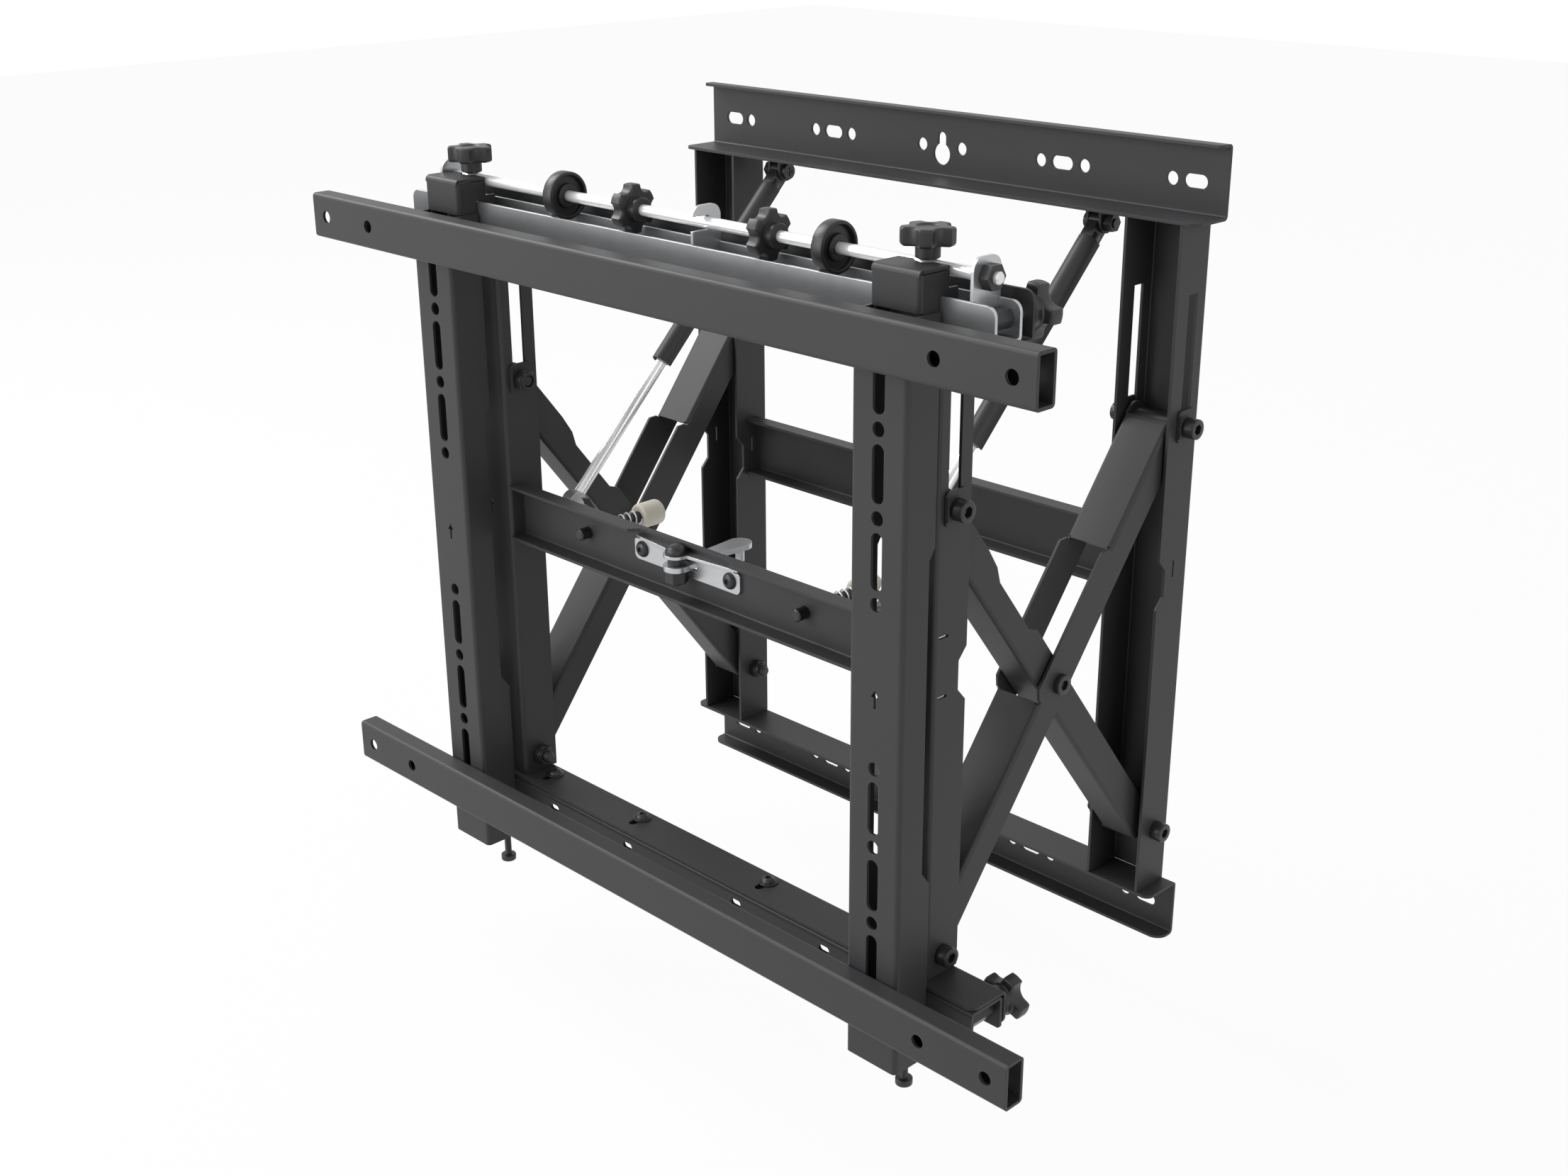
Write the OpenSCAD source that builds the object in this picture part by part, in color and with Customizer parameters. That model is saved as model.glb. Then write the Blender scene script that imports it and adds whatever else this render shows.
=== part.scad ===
// Pop-out mount for one screen of a video wall. A wall frame carries a front frame on two
// scissor linkages. The front frame carries a carriage that is adjusted in depth, and the
// display frame hangs on the carriage and is adjusted in height.
// X runs to the right, Z runs up and the viewer stands on the -Y side. The wall face is
// Y = 0 and the origin is the centre of the wall fastening pattern. Sizes are millimetres.

/* [Overall] */
// Distance from wall face to front of display tubes, pulled out
extended_depth = 295; // [290:1:300]
// Sheet thickness of bent steel parts
sheet = 2; // [1.5:0.1:2.2]
// Outer radius of bends in steel sheet
bend = 3; // [2.5:0.1:4]

/* [Display frame] */
// Length of display tube
tube_length = 630; // [620:5:700]
// Height of display tube
tube_height = 30; // [24:1:32]
// Depth of display tube, front to back
tube_depth = 15; // [14:0.5:15.5]
// Wall thickness of display tube
tube_wall = 2; // [1.5:0.1:2.5]
// Outer corner radius of display tube
tube_corner = 2.5; // [2:0.1:3]
// Height between centre lines of two display tubes
tube_spacing = 400; // [398:1:402]
// Distance between outer screw holes of display tube
tube_hole_wide = 600; // [590:1:606]
// Distance between inner screw holes of display tube
tube_hole_near = 500; // [480:1:520]
// Diameter of screw holes in tubes and uprights
screw_hole = 8.5; // [7:0.1:9]
// Distance between centre lines of two display uprights
upright_spacing = 400; // [399:0.5:401]
// Width of display upright
post_width = 40; // [39:0.5:41]
// Depth of flanges of display upright above middle
post_upper_depth = 25; // [23:0.5:26]
// Depth of flanges of display upright at middle
post_waist_depth = 20.5; // [18:0.5:22]
// Top edge of display upright
post_top = 212; // [205:1:212]
// Bottom edge of display upright
post_bottom = -246.3; // [-250:0.1:-244]
// Heights at which upper edge step starts and ends
post_upper_step = [82.4, 75.5];
// Heights at which lower edge step starts and ends
post_lower_step = [-117.5, -126.5];
// Heights of slots in display upright, above and below middle
post_slot_rows = [75, 125, 175];
// Heights of round holes in display upright, above and below middle
post_hole_rows = [50, 100, 150];
// Length of slot in display upright
post_slot_length = 33.5; // [30:0.5:35]
// How far foot tab of display upright reaches behind tube front
post_foot_reach = 52; // [48:0.5:54]

/* [Arrow] */
// Tip of arrow opening
arrow_tip = -1.2; // [-4:0.1:0]
// Overall length of arrow opening
arrow_length = 11.1; // [9:0.1:13]
// Width of arrow head
arrow_width = 6; // [5:0.1:8]
// Length of arrow head
arrow_head = 4.5; // [3:0.1:6]
// Width of arrow stem
arrow_stem = 1.6; // [1:0.1:2.5]

/* [Hook blocks] */
// Width of hook block
hook_width = 35.4; // [34:0.1:35.6]
// Block's front face, behind the front
hook_front = 26; // [25:0.5:27]
// Block's rear edge, behind the front
hook_rear = 56.2; // [55:0.1:58]
// Top of hook block
hook_top = 235; // [234:0.5:236]
// Lower edge of block's front face
hook_face_end = 212.5; // [212.1:0.1:215]
// Lower end of block's side plates in front of channel
hook_side_end = 186; // [180:1:195]
// Lower end of block's side plates inside channel
tongue_end = 204; // [202:0.5:208]
// Front of space for rod in rear of hook block, behind the front
hook_notch_front = 48.6; // [48:0.1:48.8]
// Lower end of space for rod in rear of hook block
hook_notch_bottom = 223; // [222:0.1:223.2]

/* [Hook knobs] */
// Knob axis, behind the front
hook_knob_at = 51; // [48:0.5:52]
// Diameter of neck of hook knob
neck_diameter = 13.6; // [12:0.1:14]
// Lower end of neck of hook knob
neck_bottom = 235.8; // [235.8:0.1:237]
// Underside of hook knob's star
hook_star_bottom = 243; // [242:0.5:244]
// Thickness of hook knob's star
hook_star_thick = 10; // [8:0.5:12]
// Diameter over lobes of star knob
star_diameter = 30; // [28:0.5:32]
// Diameter of screws in depth knobs
knob_screw = 6; // [5:0.5:8]

/* [Channel of the carriage] */
// Length of channels and of outer rails
rail_length = 510; // [506:1:520]
// Top channel's front face, behind the front
channel_front = 41.3; // [41.2:0.1:41.5]
// Depth of top channel
channel_depth = 22.2; // [22:0.1:22.4]
// Underside of top channel
channel_floor = 198.5; // [198.4:0.1:199]
// Height of walls of top channel
channel_height = 21.2; // [21:0.1:22]
// Radius of upper corners of channel walls
channel_corner = 6; // [4:0.5:8]
// Bottom channel's front face, behind the front
low_channel_front = 42.4; // [42.4:0.1:43]
// Depth of bottom channel
low_channel_depth = 28.4; // [28:0.1:28.5]
// Upper side of bottom channel
low_channel_top = -199.8; // [-200.1:0.1:-199.5]
// Height of walls of bottom channel
low_channel_height = 22.2; // [21:0.1:23]
// Places of small slots along bottom channel's front wall
drain_places = [54.4, 134.6];
// Length of small slot in bottom channel
drain_length = 9; // [7:0.5:11]
// Height of small slot in bottom channel
drain_width = 4.5; // [3:0.1:6]
// Row of small slots
drain_height = -207.9; // [-210:0.1:-207]

/* [Outer rails] */
// Outer rails' front edges, behind the front
rail_front = 43.2; // [43.2:0.1:43.6]
// Depth of outer rails
rail_depth = 31; // [30.5:0.1:31.4]
// Underside of top outer rail
top_rail_under = 196.3; // [196:0.1:196.3]
// Height of rear flange of top outer rail
top_rail_height = 27.3; // [26:0.1:28]
// Upper side of bottom outer rail
bottom_rail_top = -197.3; // [-197.4:0.1:-197]
// Height of rear flange of bottom outer rail
bottom_rail_height = 24.5; // [24:0.1:26]
// Corner radius of outer rails
rail_corner = 6; // [4:0.5:8]
// Places of button-head screws along bottom outer rail
rail_screws_at = [-159, -62, 64, 159];
// Diameter of screws along bottom outer rail
rail_screw = 5; // [4:0.1:5.2]
// Rail screws, behind the front
rail_screw_back = 63; // [62:0.5:64]
// Length of slots for rail screws
rail_slot_length = 15.4; // [15:0.1:17]

/* [Adjusting rod] */
// Diameter of rod
rod_diameter = 7; // [6:0.1:7.4]
// Rod axis, behind the front
rod_back = 52.4; // [52:0.1:53]
// Height of rod axis
rod_height = 232; // [231.5:0.1:232.2]
// Right end of rod
rod_right = 249; // [248:0.5:252]
// Left end of rod
rod_left = -231; // [-233:0.5:-230]
// Outer faces of two end brackets along rod
bracket_places = [-221, 238];
// Place of open centre bracket along rod
centre_bracket_place = 26; // [24:0.5:28]
// Top of rod brackets
bracket_top = 242.5; // [241:0.5:244]
// Radius of upper corners of rod brackets
bracket_corner = 7; // [5:0.5:9]
// Height of opening in centre bracket
centre_slot = 8.4; // [7.6:0.1:9]
// Places of two star knobs on rod
rod_knob_places = [-29, 89];
// Thickness of star of rod knob
rod_star = 9; // [7:0.5:11]
// Length of hub of rod knob
rod_hub = 5; // [3:0.5:7]
// Places of outer faces of wheels on rod
wheel_places = [-99.4, 135.6];
// Diameter of wheel
wheel_diameter = 30; // [28:0.5:32]
// Thickness of wheel
wheel_thick = 8.5; // [7:0.5:10]
// Diameter of recess in wheel's face
wheel_recess = 25; // [23:0.5:27]
// Depth of recess in wheel's face
recess_deep = 3; // [1:0.5:3.5]
// Diameter of wheel's hub
wheel_hub = 15; // [13:0.5:17]

/* [Depth knobs] */
// Depth knob axes, from middle
knob_side = 246; // [245:0.5:248]
// Height of upper depth knob axes
knob_high = 210; // [209:0.5:211]
// Height of lower depth knob axes
knob_low = -210.5; // [-211:0.5:-210]
// Length of round hub of depth knob
depth_hub_length = 5.8; // [4:0.1:7]
// Diameter of round hub of depth knob
depth_hub = 19; // [16:0.5:22]
// Thickness of star of depth knob
depth_star_thick = 10; // [8:0.5:12]
// Width across flats of six-sided spacers
spacer_flats = 10; // [9:0.5:11]

/* [Front uprights and crossbar] */
// Inner face of front and rear uprights, from middle
upright_inner = 173; // [172:0.5:174]
// Width of front and rear uprights
upright_width = 42; // [41:0.5:43]
// Front uprights, behind the front
front_upright_back = 47; // [46.5:0.5:48]
// Depth of front uprights
front_upright_depth = 28.4; // [27:0.1:29]
// Depth of front uprights at notch
front_notch_depth = 21.8; // [20:0.1:23]
// Width of guide slots in front uprights
front_slot_width = 10.2; // [9.6:0.1:11]
// Heights of ends of guide slots
guide_ends = [92, 182];
// Heights at which notch starts, narrows, widens and ends
notch_z = [12.8, 5.2, -13, -20.5];
// Heights of flanges of front crossbar
bar_edges = [-14.3, 24.7];
// Depth of front crossbar
crossbar_depth = 13.5; // [13:0.1:14]
// Half length of recess in crossbar's upper flange
dip_half = 46; // [44:0.5:48]
// Depth of recess in crossbar's upper flange
dip_depth = 8; // [6:0.5:8]

/* [Wall frame] */
// Depth of rear uprights
rear_upright_depth = 31.5; // [31:0.1:32]
// Depth of rear uprights at notch
rear_notch_depth = 24.8; // [24:0.1:26]
// Width of guide slots in rear uprights
rear_slot_width = 9.4; // [9.2:0.1:10]
// Height of rear uprights above and below middle
rear_half = 225.7; // [225:0.1:226]
// Heights of flanges of rear crossbar
rear_bar_heights = [-18, 26];
// Rear crossbar's flange edges, from wall
rear_crossbar_front = 23; // [22:0.5:24]
// Rear crossbar's web, from wall
rear_crossbar_web = 9; // [8:0.5:10]
// Length of wall rails
wall_rail_length = 450; // [446:1:460]
// Upper edge of top wall rail
top_wall_rail_top = 271.3; // [268:0.1:273]
// Lower edge of bottom wall rail, below middle
bottom_wall_rail_edge = 266.5; // [265:0.1:268]
// Depth of wide flanges of wall rails
flange_depth = 32; // [31.6:0.1:33]
// Depth of small lip along top wall rail
top_lip_depth = 11.5; // [8:0.5:13]
// Depth of lower lip along bottom wall rail
bottom_lip_depth = 15; // [12:0.5:18]
// Height between two rows of wall holes
wall_row_spacing = 493.7; // [492:0.1:495]
// Places of wall slots along rails
wall_slot_places = [101.1, 202.1];
// Places of round wall holes along rails
wall_hole_places = [83.8, 118.7, 185.1];
// Place of round holes beside keyhole
key_hole_place = 17.3; // [16:0.1:19]
// Length of wall slot
wall_slot_length = 17; // [15:0.5:20]
// Diameter of wide end of keyhole
key_diameter = 14.6; // [13:0.1:16]
// Width of neck of keyhole
key_neck = 7.2; // [6:0.1:8]
// Height of wide end of keyhole below row of holes
key_drop = 5; // [4:0.5:7]
// Height of neck's end above row of holes
key_rise = 6; // [4:0.5:8]

/* [Scissor linkage] */
// Rear pivots, from wall
pivot_back = 15; // [15:0.5:15.5]
// Distance from rear pivots to front pivots, pulled out
pivot_span = 219; // [218:0.5:219]
// Depth of lower pivots below middle
pivot_drop = 184; // [183:0.5:185]
// Height of upper pivots above middle
pivot_rise = 98.5; // [98:0.5:99]
// Inner and outer side of outer arm, from middle
outer_sides = [177, 211];
// Inner and outer side of inner arm, from middle
inner_sides = [180.5, 207.5];
// Half width of outer arm below its pivot line
arm_below = 9.6; // [9:0.1:10]
// Height of outer arm's covers above its pivot line
arm_cover = 10.8; // [10:0.1:11]
// Height of outer arm's bare middle above its pivot line
arm_bare = 17; // [15:0.5:17]
// Ends of lower cover along outer arm
lower_cover = [20, 161.3];
// Ends of upper cover along outer arm
upper_cover = [266.3, 354.5];
// Ends of raised bare middle along outer arm
raised = [168, 261];
// Depth of inner arm's web below its pivot line
web_below = 12.9; // [12:0.1:13]
// Ends of inner arm's web along arm
web_ends = [4, 330];
// Height of inner arm above its pivot line, lower part
inner_above = 9; // [8:0.1:9.4]
// Height of inner arm above its pivot line, at its waist
inner_waist = 4.3; // [4.3:0.1:6]
// Height of inner arm above its pivot line, upper part
inner_upper = 9.6; // [9:0.1:9.6]
// Places where inner arm's upper edge changes
inner_steps = [223, 230, 278, 288, 303];
// Diameter of pivot bolts
bolt_diameter = 8; // [7.9:0.1:8]
// Diameter of heads of pivot bolts
bolt_head = 13; // [12:0.1:13.2]
// Length of heads of pivot bolts
bolt_head_length = 8; // [7:0.1:8.5]
// Width across flats of sockets in bolt heads
socket_flats = 6; // [5:0.1:6.4]
// Depth of sockets in bolt heads
socket_depth = 4; // [3:0.5:5]
// Width across flats of lock nuts
nut_flats = 13; // [12.6:0.1:13]
// Length of lock nut
nut_length = 8; // [7:0.1:8.2]
// Length of low heads of centre bolts
low_head_length = 4; // [3.5:0.1:4.5]
// Diameter of sleeves on upper rear bolts
sleeve_diameter = 12; // [11:0.1:12.5]
// Height of slider plate
slider_height = 20.5; // [20:0.1:21]
// Width of slider plate
slider_width = 17; // [16:0.5:17.5]
// Height of lip along front edge of slider plate
slider_lip = 1.6; // [1:0.1:2]
// Diameter of washer face formed on slider plate
slider_boss = 15; // [14:0.5:16]

/* [Gas struts] */
// Places of left and right strut
strut_places = [-145, 139.5];
// Struts' upper pivots, from wall
strut_top_back = 11; // [10.5:0.5:12]
// Height of struts' upper pivots
strut_top_high = 216; // [215.5:0.5:216.5]
// Struts' lower pins, behind the front
strut_low_back = 81; // [80.5:0.5:81.5]
// Height of struts' lower pins
strut_low_height = 12.3; // [12:0.1:12.6]
// Width of strut between its hanger plates
strut_thick = 8; // [7.5:0.1:8]
// Radius of strut's upper eye
eye_radius = 7; // [6.5:0.1:7]
// Distance along strut to end of guard
guard_end = 169.5; // [165:0.5:172]
// Distance along strut to start of guard
guard_start = 15; // [14:0.5:20]
// Outer radius of rounded side of guard
guard_radius = 7; // [6.8:0.1:7.2]
// Wall thickness of guard
guard_wall = 1.2; // [1:0.1:1.4]
// Length of flat sides of guard behind cylinder's axis
guard_skirt = 3.5; // [3:0.5:5]
// Outer radius of strut's cylinder
cylinder_radius = 5.4; // [5.3:0.1:5.4]
// Diameter of strut's rod
strut_rod_size = 8; // [7.6:0.1:8]
// Distance along strut to inner end of rod
strut_rod_start = 122; // [118:1:130]
// Radius of eye at lower end of strut
low_eye = 7.5; // [7:0.1:7.8]
// Length of eye at lower end of strut
low_eye_length = 9; // [8.5:0.1:9.5]
// Diameter of pins through strut's two ends
strut_pin = 6; // [5.6:0.1:6]
// Diameter of heads of struts' upper screws
strut_head = 11; // [10:0.1:11.5]
// Length of heads of struts' upper screws
strut_head_length = 3; // [2.6:0.1:3.2]
// Width across flats of struts' upper nuts
strut_nut_flats = 10; // [9.6:0.1:10]
// Length of struts' upper nuts
strut_nut_length = 6; // [5:0.1:6.4]
// Free run of strut's lower pin in its jaws, back from its place
jaw_run_back = 9.8; // [9.8:0.1:10]
// Free run of strut's lower pin in its jaws, down from its place
jaw_run_down = 14.8; // [14.8:0.1:15]
// Width of openings in jaws
jaw_slot_width = 8; // [7.8:0.1:8.4]

/* [Latch] */
// Distance of latch pivot from middle, to right
latch_place = -4; // [-5:0.5:-3]
// Latch pivot, behind the front
latch_back = 50; // [49.5:0.5:50.5]
// Ends of latch plate along crossbar
plate_ends = [-52, 47.4];
// Heights of lower and upper edge of latch plate
plate_z = [1.5, 18.5];
// Places of latch plate's screws along crossbar
ear_places = [-44.2, 38.5];
// Height of latch plate's screws
ear_height = 9.3; // [9:0.1:10]
// Upper edge of latch plate's screw ears
latch_ear_top = 15.5; // [15:0.1:16]
// Half width of middle of latch plate, where it bends forward
wing_half = 44; // [40:1:46]
// Radius of nose of latch plate's wing
latch_nose = 8.4; // [8:0.1:8.4]
// Heights of lower and upper face of latch lever
lever_z = [7.5, 11];
// Radius of latch lever round its pivot
lever_radius = 8.5; // [8:0.1:8.8]
// Place of latch lever's pin along X
lever_pin_place = -5.7; // [-6:0.1:-5.4]
// Latch lever's pin, behind the front
lever_pin_back = 107; // [105:0.5:108]
// Radius of latch lever's far end
lever_end_radius = 8; // [7.5:0.1:8.4]
// Narrowest half width of latch lever
lever_neck_half = 6; // [5:0.1:6.5]
// Diameter of latch lever's pin
lever_pin = 6; // [5:0.1:6.4]
// Lower end of latch lever's pin
lever_pin_bottom = -2; // [-4:0.5:0]
// Diameter of domed head of latch bolt
latch_head = 14; // [13:0.1:15]
// Height of domed head of latch bolt
latch_head_height = 6; // [5:0.1:6.5]
// Diameter of shoulder of latch bolt
latch_shoulder = 11; // [10:0.1:12]

/* [Bumpers] */
// Bumpers, from middle
bumper_side = 102.4; // [100:0.1:104]
// Height of bumpers
bumper_z = 5.8; // [5.5:0.1:6]
// Diameter of bumper pin
bumper_pin = 8; // [7:0.1:8]
// Bumper pin's front end, behind the front
bumper_pin_front = 50; // [49:0.5:51]
// Bumper cap's front face, behind the front
cap_front = 102.4; // [101:0.1:103]
// Bumper cap's rear face, behind the front
cap_rear = 121; // [119:0.5:121.5]
// Diameter of bumper cap
bumper_cap = 17.5; // [16:0.1:18]
// Wire diameter of bumper spring
wire = 1.1; // [0.9:0.1:1.2]
// Mean radius of bumper spring
coil_radius = 4.95; // [4.9:0.05:5.2]
// Number of turns of bumper spring
coil_turns = 8; // [6:1:9]

/* [Levelling screws] */
// Levelling screws, behind the front
level_back = 46.4; // [45:0.1:47]
// Underside of levelling screws' heads
level_bottom = -276.7; // [-278:0.1:-274]
// Diameter of levelling screws' heads
level_head = 11; // [10:0.1:12]
// Height of levelling screws' heads
level_head_height = 4.5; // [4:0.1:5]
// Diameter of levelling screws
level_shank = 5; // [4.5:0.1:5.4]
// Height of upper ends of levelling screws
level_top = -227.5; // [-228:0.5:-227.5]

/* [Hidden] */
$fn = 48;

// How far a cutting tool runs past the face that it opens
over = 1;
// Gap between parts that are seated in or against each other
seat = 0.3;
// Gap between flat faces that turn past each other
turn_gap = 0.2;
// Radial clearance of a pin or screw that turns in its bore
run = 0.06;

front = -extended_depth;
tube_low = -tube_spacing / 2;
tube_high = tube_spacing / 2;
post_front = front + tube_depth;
post_lower_depth = low_channel_front - tube_depth - seat;
upright_mid = upright_inner + upright_width / 2;
upright_outer = upright_inner + upright_width;
low_side = upright_inner - over;
high_side = upright_outer + over;
post = front + front_upright_back;
web_rear = post + crossbar_depth;
web_front = web_rear - sheet;
rear_pivot = -pivot_back;
front_pivot = rear_pivot - pivot_span;
arm_length = norm([pivot_span, pivot_drop + pivot_rise]);
arm_angle = atan2(pivot_drop + pivot_rise, pivot_span);
bolt_bore = bolt_diameter / 2 + run;
knob_bore = knob_screw + 2 * run;
rod_axis = [front + rod_back, rod_height];
latch_hub = [latch_place, front + latch_back];
window_half = 12;
channel_in = front + channel_front + sheet;
channel_out = front + channel_front + channel_depth - sheet;
low_in = front + low_channel_front + sheet;
low_out = front + low_channel_front + low_channel_depth - sheet;
rail_rear = front + rail_front + rail_depth;
strut_top = [-strut_top_back, strut_top_high];
strut_low = [front + strut_low_back, strut_low_height];
strut_length = norm(strut_low - strut_top);
strut_angle = atan2(strut_low[1] - strut_top[1], strut_low[0] - strut_top[0]);
wall_row = wall_row_spacing / 2;
black = "#3b3c3e";
oxide = "#1c1c1e";
zinc = "#c8cbcf";
steel = "#dfe2e5";
plastic = "#18181a";
ivory = "#e6e2cf";

// A box between its low and high corner
module box(low, high) {
  translate(low) cube(high - low);
}

// The same shape on the right and, mirrored, on the left
module both_sides() {
  children();
  mirror([1, 0, 0]) children();
}

// A shape drawn at X = 0, at the right strut and, mirrored, at the left strut
module both_struts() {
  translate([strut_places[1], 0, 0]) children();
  translate([strut_places[0], 0, 0]) mirror([1, 0, 0]) children();
}

// The mirror image of a right-hand shape
module left() {
  mirror([1, 0, 0]) children();
}

// An outline drawn in Y and Z, pulled along X
module along_x(x0, x1) {
  translate([x0, 0, 0]) rotate([90, 0, 90]) linear_extrude(x1 - x0) children();
}

// An outline drawn in X and Z, pulled along Y
module along_y(y0, y1) {
  translate([0, y1, 0]) rotate([90, 0, 0]) linear_extrude(y1 - y0) children();
}

// An outline drawn in X and Y, pulled along Z
module along_z(z0, z1) {
  translate([0, 0, z0]) linear_extrude(z1 - z0) children();
}

// A round bar along X, from x0 to x1, whose axis is at [y, z]
module bar_x(diameter, x0, x1, place) {
  translate([x0, place[0], place[1]]) rotate([0, 90, 0]) cylinder(d = diameter, h = x1 - x0);
}

// A round bar along Y, from y0 to y1, whose axis is at [x, z]
module bar_y(diameter, y0, y1, place) {
  translate([place[0], y1, place[1]]) rotate([90, 0, 0]) cylinder(d = diameter, h = y1 - y0);
}

// A round bar along Z, from z0 to z1, whose axis is at [x, y]
module bar_z(diameter, z0, z1, place) {
  translate([place[0], place[1], z0]) cylinder(d = diameter, h = z1 - z0);
}

// A six-sided outline, measured across its flats
module hexagon(flats) {
  circle(d = flats / cos(30), $fn = 6);
}

// The sliver outside a rounded corner. The corner points along way.
module corner_sliver(corner, way, radius) {
  translate(corner)
    mirror([way[0] < 0 ? 1 : 0, 0])
      mirror([0, way[1] < 0 ? 1 : 0])
        translate([-radius, -radius])
          difference() {
            square(radius + over);
            circle(r = radius);
          }
}

// A rectangle whose corners are rounded, in turn from the low corner anticlockwise
module round_rect(low, high, radii) {
  difference() {
    translate(low) square(high - low);
    if (radii[0] > 0) corner_sliver(low, [-1, -1], radii[0]);
    if (radii[1] > 0) corner_sliver([high[0], low[1]], [1, -1], radii[1]);
    if (radii[2] > 0) corner_sliver(high, [1, 1], radii[2]);
    if (radii[3] > 0) corner_sliver([low[0], high[1]], [-1, 1], radii[3]);
  }
}

// A slot outline with round ends, along its first axis
module slot(length, width) {
  square([length - width, width], center = true);
  for (end = [-1, 1]) translate([end * (length - width) / 2, 0]) circle(d = width);
}

// The outline of a bent channel. Its web lies along the first axis and it opens upward.
module channel_outline(width, depth) {
  difference() {
    round_rect([-width / 2, 0], [width / 2, depth], [bend, bend, 0, 0]);
    round_rect(
      [-width / 2 + sheet, sheet], [width / 2 - sheet, depth + over],
      [bend - sheet, bend - sheet, 0, 0]
    );
  }
}

// The outline of a star knob with a number of lobes
module star(diameter, lobes, bite, turn) {
  difference() {
    circle(d = diameter);
    for (lobe = [0 : lobes - 1])
      rotate(turn + (lobe + 0.5) * 360 / lobes) translate([diameter / 2 + bite * 0.35, 0]) circle(r = bite);
  }
}

// Display frame

// One rectangular tube with four through holes for the display
module display_tube(height) {
  low = [front, height - tube_height / 2];
  high = [front + tube_depth, height + tube_height / 2];
  inner = [tube_wall, tube_wall];
  inner_corner = max(tube_corner - tube_wall, 0.5);
  difference() {
    along_x(-tube_length / 2, tube_length / 2)
      difference() {
        round_rect(low, high, [for (i = [0 : 3]) tube_corner]);
        round_rect(low + inner, high - inner, [for (i = [0 : 3]) inner_corner]);
      }
    for (spacing = [tube_hole_near, tube_hole_wide], side = [-1, 1])
      bar_y(screw_hole, front - over, front + tube_depth + over, [side * spacing / 2, height]);
  }
}

module top_display_tube() {
  color(black) display_tube(tube_high);
}
module bottom_display_tube() {
  color(black) display_tube(tube_low);
}

// The outline of the arrow opening that points up
module arrow() {
  translate([0, arrow_tip]) {
    polygon([[0, 0], [-arrow_width / 2, -arrow_head], [arrow_width / 2, -arrow_head]]);
    translate([-arrow_stem / 2, -arrow_length]) square([arrow_stem, arrow_length - arrow_head + 0.1]);
  }
}

// The holes down the front of a display upright
module upright_openings() {
  for (way = [-1, 1]) {
    for (row = post_slot_rows) translate([0, way * row]) rotate(90) slot(post_slot_length, screw_hole);
    for (row = post_hole_rows) translate([0, way * row]) circle(d = screw_hole);
  }
  arrow();
}

// A display upright: a channel open to the rear, with a foot tab for the levelling screw
module display_upright() {
  lower_edge = post_front + post_lower_depth;
  upper_edge = post_front + post_upper_depth;
  waist_edge = post_front + post_waist_depth;
  half = post_width / 2;
  foot_rear = front + post_foot_reach;
  translate([upright_spacing / 2, 0, 0]) {
    difference() {
      along_z(post_bottom, post_top) translate([0, post_front]) channel_outline(post_width, post_lower_depth);
      along_x(-half - over, half + over)
        polygon([
          [lower_edge + over, post_top + over], [upper_edge, post_top + over],
          [upper_edge, post_upper_step[0]], [waist_edge, post_upper_step[1]],
          [waist_edge, post_lower_step[0]], [lower_edge, post_lower_step[1]],
          [lower_edge + over, post_lower_step[1]]
        ]);
      along_y(post_front - over, post_front + sheet + over) upright_openings();
    }
    difference() {
      along_z(post_bottom, post_bottom + sheet)
        round_rect(
          [-half + sheet, post_front + sheet], [half - sheet, foot_rear],
          [0, 0, bend, bend]
        );
      bar_z(level_shank + 2 * run, post_bottom - over, post_bottom + sheet + over, [0, front + level_back]);
    }
  }
}

module display_upright_left() {
  color(black) left() display_upright();
}
module display_upright_right() {
  color(black) display_upright();
}

// A folded block that hooks over the front wall of the top channel
module hook_block() {
  face = front + hook_front;
  rear = front + hook_rear;
  half = hook_width / 2;
  wall_front = front + channel_front;
  side_gap = 0.5;
  slot_top = channel_floor + channel_height + seat;
  translate([upright_spacing / 2, 0, 0])
    difference() {
      union() {
        // Front face and the two side plates, with bent vertical edges
        along_z(hook_side_end, hook_top - sheet - 2 * seat)
          translate([0, face]) channel_outline(hook_width, rear - face);
        // Top plate, bent back from the front face
        along_x(-half + over, half - over)
          difference() {
            round_rect([face, hook_top - bend - over], [rear - over, hook_top], [0, 0, 0, bend]);
            round_rect([face + sheet, hook_top - bend - 2 * over], [rear, hook_top - sheet], [0, 0, 0, bend - sheet]);
          }
        box([-half, face + bend, hook_top - sheet], [half, rear - over, hook_top]);
      }
      // Front face ends above the display upright
      box([-half + bend, face - over, hook_side_end - over], [half - bend, face + sheet + over, hook_face_end]);
      box([-half - over, face - over, hook_side_end - over], [half + over, face + bend, hook_face_end]);
      // Slot over the channel wall
      box(
        [-half - over, wall_front - side_gap, hook_side_end - over],
        [half + over, wall_front + sheet + side_gap, slot_top]
      );
      // The rear tongues end inside the channel
      box(
        [-half - over, wall_front + sheet, hook_side_end - over],
        [half + over, rear + over, tongue_end]
      );
      // Space for the rod, and a round notch for the knob's neck
      box(
        [-half - over, front + hook_notch_front, hook_notch_bottom],
        [half + over, rear + over, hook_top + over]
      );
      bar_z(neck_diameter + 2 * seat, hook_top - sheet - over, hook_top + over, [0, front + hook_knob_at]);
    }
}

module hook_blocks() {
  color(black) both_sides() hook_block();
}

// A star knob whose neck presses on the adjusting rod
module hook_knob() {
  place = [upright_spacing / 2, front + hook_knob_at];
  color(plastic) {
    bar_z(neck_diameter, neck_bottom, hook_star_bottom + over, place);
    translate([place[0], place[1], hook_star_bottom])
      linear_extrude(hook_star_thick) star(star_diameter, 5, 6.4, 18);
  }
}

module hook_knob_left() {
  left() hook_knob();
}
module hook_knob_right() {
  hook_knob();
}

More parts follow.
